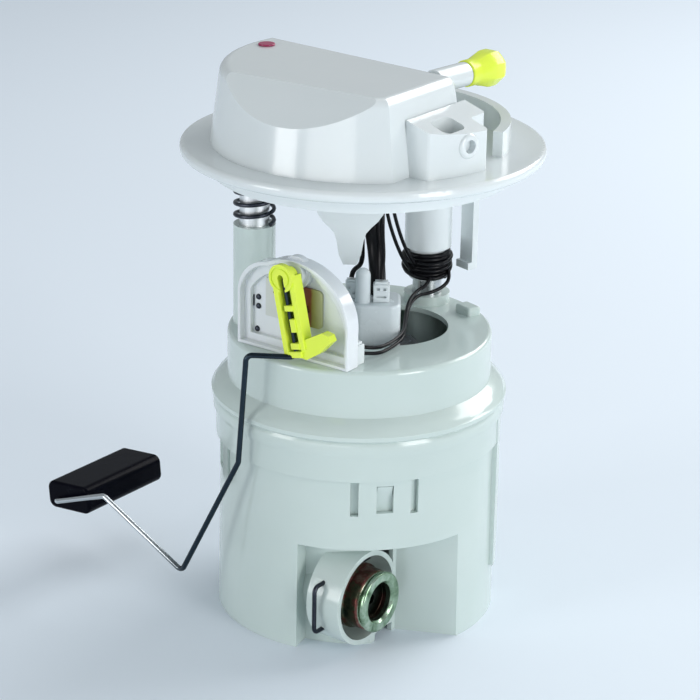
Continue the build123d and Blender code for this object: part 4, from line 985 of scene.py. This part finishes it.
@dataclass
class Leads:
    """Hose and leads between the pump, the sender and the flange."""

    pump_lead_r: float = 1.0
    sender_lead_r: float = 0.75
    hose_r: float = 3.3
    right: Route = (
        (5.77, 5.67, 191.4), (5.72, 5.4, 176.0), (6.4, 5.14, 165.0), (8.28, 2.56, 158.0),
        (12.29, -1.94, 151.5), (14.2, -5.25, 146.4), (14.9, -6.4, 142.9))
    left: Route = (
        (-0.82, 1.13, 191.4), (-1.03, 0.74, 176.0), (-0.53, 0.73, 162.0), (-0.44, 1.29, 153.0),
        (0.72, 0.03, 144.6), (2.3, -8.9, 144.8), (2.7, -9.8, 142.1))
    upper: tuple[Route, ...] = (
        ((-0.5, 13.0, 191.4), (-0.2, 13.8, 176.0), (0.6, 16.5, 161.0), (1.2, 21.5, 149.0),
         (1.6, 27.6, 138.9), (2.0, 31.9, 134.0)),
        ((1.6, 14.4, 191.4), (1.9, 15.2, 177.0), (2.6, 18.0, 162.5), (3.1, 23.0, 150.5),
         (3.5, 28.2, 141.5), (3.9, 31.9, 137.3)))
    lower: tuple[Route, ...] = (
        ((13.6, 42.6, 133.5), (15.6, 40.9, 130.7), (14.6, 37.0, 127.8), (11.5, 32.0, 126.0),
         (9.7, 26.2, 126.3), (10.8, 19.0, 124.3), (14.5, 12.0, 122.2), (18.25, 5.85, 121.0),
         (25.3, -5.1, 120.6), (26.6, -12.8, 120.0), (27.1, -18.6, 119.9), (27.3, -24.0, 120.0),
         (25.0, -29.2, 120.8), (23.4, -32.6, 121.8)),
        ((9.9, 34.6, 131.5), (10.7, 31.0, 129.2), (9.7, 26.0, 128.5), (10.9, 18.6, 126.5),
         (14.6, 11.6, 124.4), (18.35, 5.5, 123.2), (25.4, -5.4, 122.8), (26.7, -13.1, 122.2),
         (27.2, -18.9, 122.1), (27.0, -24.3, 122.3), (24.6, -29.3, 123.2), (22.2, -32.6, 124.4)))
    hose: Route = (
        (8.44, -0.05, 134.0), (8.44, -0.05, 147.0), (-1.23, 7.14, 163.5), (-1.23, 7.14, 191.5))
    still_below: float = 146.0
    moving_above: float = 178.0
    slack_start: Point = (13.6, 36.0, 131.0)
    slack_end: Point = (14.5, 12.0, 125.0)

    def build(self, shop: Workshop) -> None:
        """Builds the leads and the hose as smooth cords."""
        for name, route, radius, node in (
                ("lead_to_right_plug", self.right, self.pump_lead_r, "pump_lead_right"),
                ("lead_to_left_plug", self.left, self.pump_lead_r, "pump_lead_left"),
                ("hose_to_flange", self.hose, self.hose_r, "feed_hose")):
            self._bending(
                name, route, radius, node, shop)
        for number, route in enumerate(self.upper, 1):
            name = f"sender_lead_{number}_above_winding"
            lead = smooth_cord(name, [route], self.sender_lead_r)
            shop.finish(lead, Slot.BLACK_RUBBER, Body.FLANGE, "sender_leads_upper")
            self._declare(route)
        for number, route in enumerate(self.lower, 1):
            self._bending(
                f"sender_lead_{number}_to_plug", route, self.sender_lead_r, "sender_leads_lower",
                shop)

    def _bending(
        self,
        name: str,
        route: Sequence[Point],
        radius_mm: float,
        node: str,
        shop: Workshop,
    ) -> None:
        """Cord that bends while the flange slides down.

        Args:
            name: Name of the piece.
            route: Control points in millimetres.
            radius_mm: Radius of the cord.
            node: CAD node that it stands for.
            shop: Workshop that dresses it.
        """
        lead = meshed(smooth_cord(name, [route], radius_mm))
        shop.dress(lead, Slot.BLACK_RUBBER)
        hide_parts(node)
        self._declare(route, line_of(route))
        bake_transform(lead)

    def _declare(
        self,
        route: Sequence[Point],
        path: list[list[float]] | None = None,
    ) -> None:
        """Works out the points of a cord's own line, which nothing further uses.

        Args:
            route: Its control points in millimetres.
            path: Points of its line in metres, for a mesh.
        """
        line = path or line_of(route)


@dataclass
class LeadPlug:
    """White plug on a terminal: body with slots and a collar."""

    name: str
    node: str
    centre: Point
    size: Point
    turn_deg: float
    slots: tuple[Span, ...]

    def build(self, shop: Workshop) -> None:
        """Builds the plug, with its slots cut into the face at the front."""
        width, depth, height = self.size
        solids = [
            cuboid((0, 0, -0.06 * height), (width, depth, 0.88 * height), 0.35),
            cuboid((0, 0, 0.44 * height), (0.8 * width, 0.78 * depth, 0.12 * height), 0.2),
        ]
        cuts = [
            cuboid((x * width, -0.5 * depth, z * height), (w * width, 0.5 * depth, h * height), 0.0)
            for x, z, w, h in self.slots]
        plug = combined(self.name, solids, cuts)
        plug.matrix_world = at(self.centre) @ turned(self.turn_deg, "Z")
        shop.finish(plug, Slot.WHITE_PLASTIC, Body.RESERVOIR, self.node)


@dataclass
class OutletCap:
    """Yellow transport cap on the outlet: a round neck that flares to a faceted knob."""

    origin: Point = (30.6, 23.8, 222.8)
    turn_deg: float = -6.0
    facets: int = 8
    steps: int = 96
    outline: Route = (
        (4.05, 0.3, 0.0), (4.9, 0.3, 0.0), (5.3, 0.7, 0.0), (5.3, 4.8, 0.0), (5.45, 5.6, 0.1),
        (6.7, 9.6, 0.6), (7.2, 11.2, 1.0), (7.4, 12.6, 1.0), (7.4, 16.0, 1.0), (7.1, 17.2, 0.9),
        (6.1, 18.6, 0.6), (4.9, 19.2, 0.3), (3.2, 19.5, 0.0), (1.4, 19.1, 0.0), (TIP_R, 19.0, 0.0))
    bore: Route = ((TIP_R, 17.3, 0.0), (4.05, 17.3, 0.0))

    def build(self, shop: Workshop) -> None:
        """Builds the cap on its spigot."""
        rings = [*reversed(self.outline), *reversed(self.bore)]
        cap = lathed("outlet_transport_cap", rings, self.steps, self.facets)
        cap.matrix_world = at(self.origin) @ turned(self.turn_deg, "Z") @ turned(-90, "X")
        shop.finish(cap, Slot.YELLOW_PLASTIC, Body.OUTLET_CAP, "outlet_cap")


@dataclass
class LevelSender:
    """Housing of the level sender with its bearing, and the rivets and terminals in it."""

    left: float = -26.5
    right: float = 27.5
    low: float = 118.5
    left_end_z: float = 22.5
    left_bulge: Flat = (4.2, 31.5)
    left_top: Flat = (14.0, 36.0)
    crown: Flat = (2.0, 39.2)
    right_top: Flat = (11.0, 34.5)
    right_bulge: Flat = (2.5, 26.0)
    right_end_z: float = 15.0
    back_y: float = -38.5
    front_y: float = -45.6
    floor_y: float = -40.5
    step_y: float = -42.6
    rim: float = 1.3
    step: float = 4.2
    edge: float = 0.3
    hub: Flat = (0.4, 152.5)
    hub_r: float = 5.2
    collar_r: float = 6.6
    collar_down: float = 2.4
    bore_r: float = 1.18
    seat: float = 0.4
    strip_t: float = 0.5
    strip_edge: float = 0.1
    rivet_steps: int = 24
    rivets: tuple[Point, ...] = (
        (-19.8, 137.4, 1.2), (-19.8, 133.6, 1.2), (-20.4, 124.0, 1.2), (8.9, 135.8, 1.3))
    strips: tuple[Span, ...] = (
        (-24.3, 133.9, 3.2, 0.8), (-24.3, 124.2, 1.6, 1.0), (-22.1, 135.6, 0.5, 4.6),
        (6.6, 135.6, 3.4, 0.9))

    def outline(self, inset: float) -> list[Flat]:
        """Outline of the housing in X and Z, drawn in from its edge."""
        low, left, right = self.low + inset, self.left + inset, self.right - inset
        twice = 2 * inset
        left_end = (left, low + self.left_end_z - inset)
        left_bulge = (left + self.left_bulge[0], low + self.left_bulge[1] - twice)
        left_top = (left + self.left_top[0], low + self.left_top[1] - twice)
        crown = (self.crown[0], low + self.crown[1] - twice)
        right_top = (right - self.right_top[0], low + self.right_top[1] - twice)
        right_bulge = (right - self.right_bulge[0], low + self.right_bulge[1] - twice)
        right_end = (right, low + self.right_end_z - inset)
        return [
            (right, low), (left, low), *arc_through(left_end, left_bulge, left_top),
            *arc_through(left_top, crown, right_top), *arc_through(right_top, right_bulge, right_end),
            right_end]

    def build(self, shop: Workshop) -> None:
        """Builds the housing, its bearing and what is riveted on it."""
        past = self.front_y - PAST
        bearing_back = self.floor_y + self.seat
        housing = combined(
            "level_sender_housing",
            [plate(self.outline(0.0), self.back_y, self.front_y)],
            [plate(self.outline(self.rim), self.step_y, past),
             plate(self.outline(self.step), self.floor_y, past)])
        bearing = combined(
            "level_sender_bearing",
            [disc(self.hub, self.hub_r, bearing_back, self.front_y),
             disc(self.hub, self.collar_r, bearing_back, self.front_y + self.collar_down)],
            [disc(self.hub, self.bore_r, self.floor_y - PAST, past)])
        for piece in (housing, bearing):
            shop.finish(piece, Slot.CLEAR_WHITE_PLASTIC, Body.RESERVOIR, "sender_housing")
            shop.soften(piece, self.edge)
        strip_y = self.floor_y - self.strip_t / 2
        blocks = [
            cuboid((x, strip_y, z), (w, self.strip_t, h), self.strip_edge)
            for x, z, w, h in self.strips]
        fittings = [combined("sender_terminal_strips", blocks)]
        for number, (x, z, radius) in enumerate(self.rivets, 1):
            head = (
                (TIP_R, 0.9, 0.0), (0.45 * radius, 0.85, 0.0), (0.8 * radius, 0.6, 0.0),
                (radius, 0.2, 0.0), (radius, -0.1, 0.0))
            rivet = lathed(f"sender_rivet_{number}", head, self.rivet_steps)
            rivet.matrix_world = at((x, self.floor_y, z)) @ turned(90, "X")
            fittings.append(rivet)
        for piece in fittings:
            shop.finish(piece, Slot.DARK_SPRING_STEEL, Body.RESERVOIR, "sender_terminals")


@dataclass
class FloatLever:
    """Yellow carrier of the float arm: hub ring, two rails with the wire between them, and foot."""

    hub: Flat = (0.4, 152.5)
    foot: Flat = (7.4, 121.4)
    back_y: float = -46.2
    front_y: float = -53.0
    hub_r: float = 5.6
    hub_depth: float = 2.4
    neck_r: float = 3.4
    sunk: float = 0.2
    wire_hole_r: float = 1.45
    slot: Span = (0.0, 6.0, -1.3, 1.3)
    groove_r: Flat = (3.7, 4.6)
    groove_depth: float = 0.5
    left_rail: Span = (1.0, 31.6, -4.3, -2.1)
    right_rail: Span = (-0.5, 28.4, 3.2, 5.5)
    right_rail_y: Flat = (-46.8, -52.2)
    web: Span = (0.0, 30.8, -3.4, 4.4)
    web_y: Flat = (-48.0, -49.4)
    clips: tuple[Span, ...] = (
        (10.8, 13.0, -0.6, 3.4), (16.2, 21.4, 0.9, 3.4), (25.8, 28.2, -0.6, 3.4),
        (29.2, 31.6, -2.4, 3.6))
    clip_root: float = 0.5
    clip_down: float = 0.25
    fan: tuple[Flat, ...] = (
        (10.6, 129.2), (19.4, 134.2), (22.6, 133.6), (23.8, 131.3), (18.4, 125.6), (12.3, 121.6),
        (9.0, 122.0))
    fan_y: Flat = (-47.4, -51.4)
    edge: float = 0.28

    def along(self, u: float, v: float) -> Flat:
        """Place in X and Z, at a distance along the carrier and one across it."""
        dx, dz = self.foot[0] - self.hub[0], self.foot[1] - self.hub[1]
        length = math.hypot(dx, dz)
        ux, uz = dx / length, dz / length
        return self.hub[0] + u * ux - v * uz, self.hub[1] + u * uz + v * ux

    def bar(self, span: Span, back: float, front: float) -> Piece:
        """Scratch bar between two distances along the carrier and two across it.

        Args:
            span: Both distances along it, then both across it.
            back: Depth of its back along Y.
            front: Depth of its front along Y.

        Returns:
            The mesh object.
        """
        u0, u1, v0, v1 = span
        outline = [self.along(u, v) for u, v in ((u0, v0), (u1, v0), (u1, v1), (u0, v1))]
        return plate(outline, back, front)

    def build(self, shop: Workshop) -> None:
        """Builds the carrier."""
        hub_back = self.front_y + self.hub_depth
        past = self.front_y - PAST
        web_front = self.web_y[1]
        solids = [
            disc(self.hub, self.hub_r, hub_back, self.front_y),
            disc(self.hub, self.neck_r, self.back_y, hub_back - self.sunk),
            self.bar(self.left_rail, self.web_y[0], self.front_y),
            self.bar(self.right_rail, *self.right_rail_y),
            self.bar(self.web, *self.web_y),
            plate(self.fan, *self.fan_y),
        ]
        clip_y = (web_front + self.clip_root, self.front_y + self.clip_down)
        solids += [self.bar(clip, *clip_y) for clip in self.clips]
        inner_r, outer_r = self.groove_r
        cuts = [
            disc(self.hub, self.wire_hole_r, web_front, past),
            self.bar(self.slot, web_front, past),
            combined(
                "groove", [disc(self.hub, outer_r, self.front_y + self.groove_depth, past)],
                [disc(self.hub, inner_r, self.front_y + PAST, past - PAST)]),
        ]
        carrier = combined("float_arm_carrier", solids, cuts)
        shop.finish(carrier, Slot.YELLOW_PLASTIC, Body.LEVER, "lever_carrier")
        shop.soften(carrier, self.edge)


@dataclass
class Studio:
    """Camera at the photograph's angle, pale floor and soft lights."""

    camera_at: Point = (0.55646, -0.76590, 0.4641)
    camera_turn: Point = (69.3708, -0.9116, 36.5724)
    focal_mm: float = 128.571
    sensor_mm: float = 36.0
    floor_size: float = 8.0
    world_level: float = 0.4
    world_colour: Colour = (0.88, 0.95, 1.0)
    floor_colours: tuple[Colour, Colour] = ((0.8, 0.87, 0.94), (0.785, 0.855, 0.93))
    lights: tuple[tuple[str, Point, Flat, float], ...] = (
        ("key_light", (1.3, -0.22, 0.4), (0.5, 0.9), 9.0),
        ("strip_light", (-0.52, -1.25, 0.3), (0.44, 0.9), 6.0),
        ("low_light", (0.3, -1.35, 0.1), (0.9, 0.3), 1.8),
        ("back_light", (0.35, 1.25, 0.95), (1.3, 0.7), 15.0),
        ("top_light", (-0.25, 0.3, 1.4), (0.8, 0.8), 1.5),
    )
    aim: Point = (0.0, 0.0, 0.12)

    def build(self) -> None:
        """Builds the camera, the floor, the world and the lights."""
        self._camera()
        self._floor()
        self._world()
        for name, place, size, power in self.lights:
            self._light(name, place, size, power)

    def _camera(self) -> None:
        """Camera that looks as the photograph does."""
        data = bpy.data.cameras.new("photo_camera")
        data.lens = self.focal_mm
        data.sensor_width = self.sensor_mm
        camera = placed("photo_camera", data)
        camera.location = self.camera_at
        camera.rotation_euler = [math.radians(a) for a in self.camera_turn]
        bpy.context.scene.camera = camera

    def _floor(self) -> None:
        """Plain pale floor that keeps the object's shadow."""
        half = self.floor_size / 2
        mesh = bpy.data.meshes.new("studio_floor")
        corner_points = [(-half, -half, 0), (half, -half, 0), (half, half, 0), (-half, half, 0)]
        mesh.from_pydata(corner_points, [], [(0, 1, 2, 3)])
        floor = placed("studio_floor", mesh)
        graph = Graph("pale_floor")
        graph.dress(
            Base_Color=graph.blend(graph.noise(400.0, 1.0), *self.floor_colours), Roughness=0.7,
            Specular_IOR_Level=0.1)
        mesh.materials.append(graph.material)

    def _world(self) -> None:
        """Plain world: white where it is seen, softer where it lights."""
        world = bpy.data.worlds.new("studio_world")
        bpy.context.scene.world = world
        world.use_nodes = True
        nodes = world.node_tree.nodes
        links = world.node_tree.links
        nodes.clear()
        path = nodes.new("ShaderNodeLightPath")
        seen = nodes.new("ShaderNodeMath")
        seen.operation = "MAXIMUM"
        links.new(path.outputs["Is Camera Ray"], seen.inputs[0])
        links.new(path.outputs["Is Transmission Ray"], seen.inputs[1])
        mix = nodes.new("ShaderNodeMixShader")
        links.new(seen.outputs[0], mix.inputs["Fac"])
        skies = ((self.world_colour, self.world_level), ((1.0, 1.0, 1.0), 1.0))
        for socket, (colour, level) in enumerate(skies, 1):
            sky = nodes.new("ShaderNodeBackground")
            sky.inputs["Color"].default_value = (*colour, 1.0)
            sky.inputs["Strength"].default_value = level
            links.new(sky.outputs[0], mix.inputs[socket])
        output = nodes.new("ShaderNodeOutputWorld")
        links.new(mix.outputs[0], output.inputs[0])

    def _light(self, name: str, place: Point, size: Flat, power: float) -> None:
        """Soft rectangular lamp that looks at the object."""
        data = bpy.data.lights.new(name, "AREA")
        data.shape = "RECTANGLE"
        data.size, data.size_y = size
        data.energy = power
        lamp = placed(name, data)
        lamp.location = place
        lamp.rotation_euler = (Vector(self.aim) - Vector(place)).to_track_quat("-Z", "Y").to_euler()


PLUGS = (
    LeadPlug(
        "plug_on_right_terminal", "pump_plug_right", (14.9, -6.4, 138.2), (6.4, 4.6, 8.4), 36.0,
        ((-0.2, 0.16, 0.2, 0.14), (0.2, 0.16, 0.2, 0.14), (0.0, -0.22, 0.62, 0.1))),
    LeadPlug(
        "plug_on_left_terminal", "pump_plug_left", (2.7, -9.8, 137.8), (4.8, 4.0, 7.6), 36.0,
        ((-0.18, 0.1, 0.2, 0.16), (0.2, -0.2, 0.22, 0.16))),
    LeadPlug(
        "plug_behind_sender", "sender_plug", (22.6, -35.8, 123.0), (8.0, 5.4, 9.0), 180.0,
        ((-0.22, 0.1, 0.16, 0.3), (0.22, 0.1, 0.16, 0.3))),
)


def main() -> None:
    """Builds the studio, then the module's sub-assemblies in order."""
    logging.basicConfig(level=logging.INFO, format="%(name)s: %(message)s")
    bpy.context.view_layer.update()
    bpy.context.scene.view_settings.view_transform = "Standard"
    Studio().build()
    shop = Workshop()
    shop.dress_frame()
    Guides().build(shop)
    Leads().build(shop)
    for plug in PLUGS:
        plug.build(shop)
    OutletCap().build(shop)
    LevelSender().build(shop)
    FloatLever().build(shop)
    bpy.context.view_layer.update()


if __name__ == "__main__":
    main()
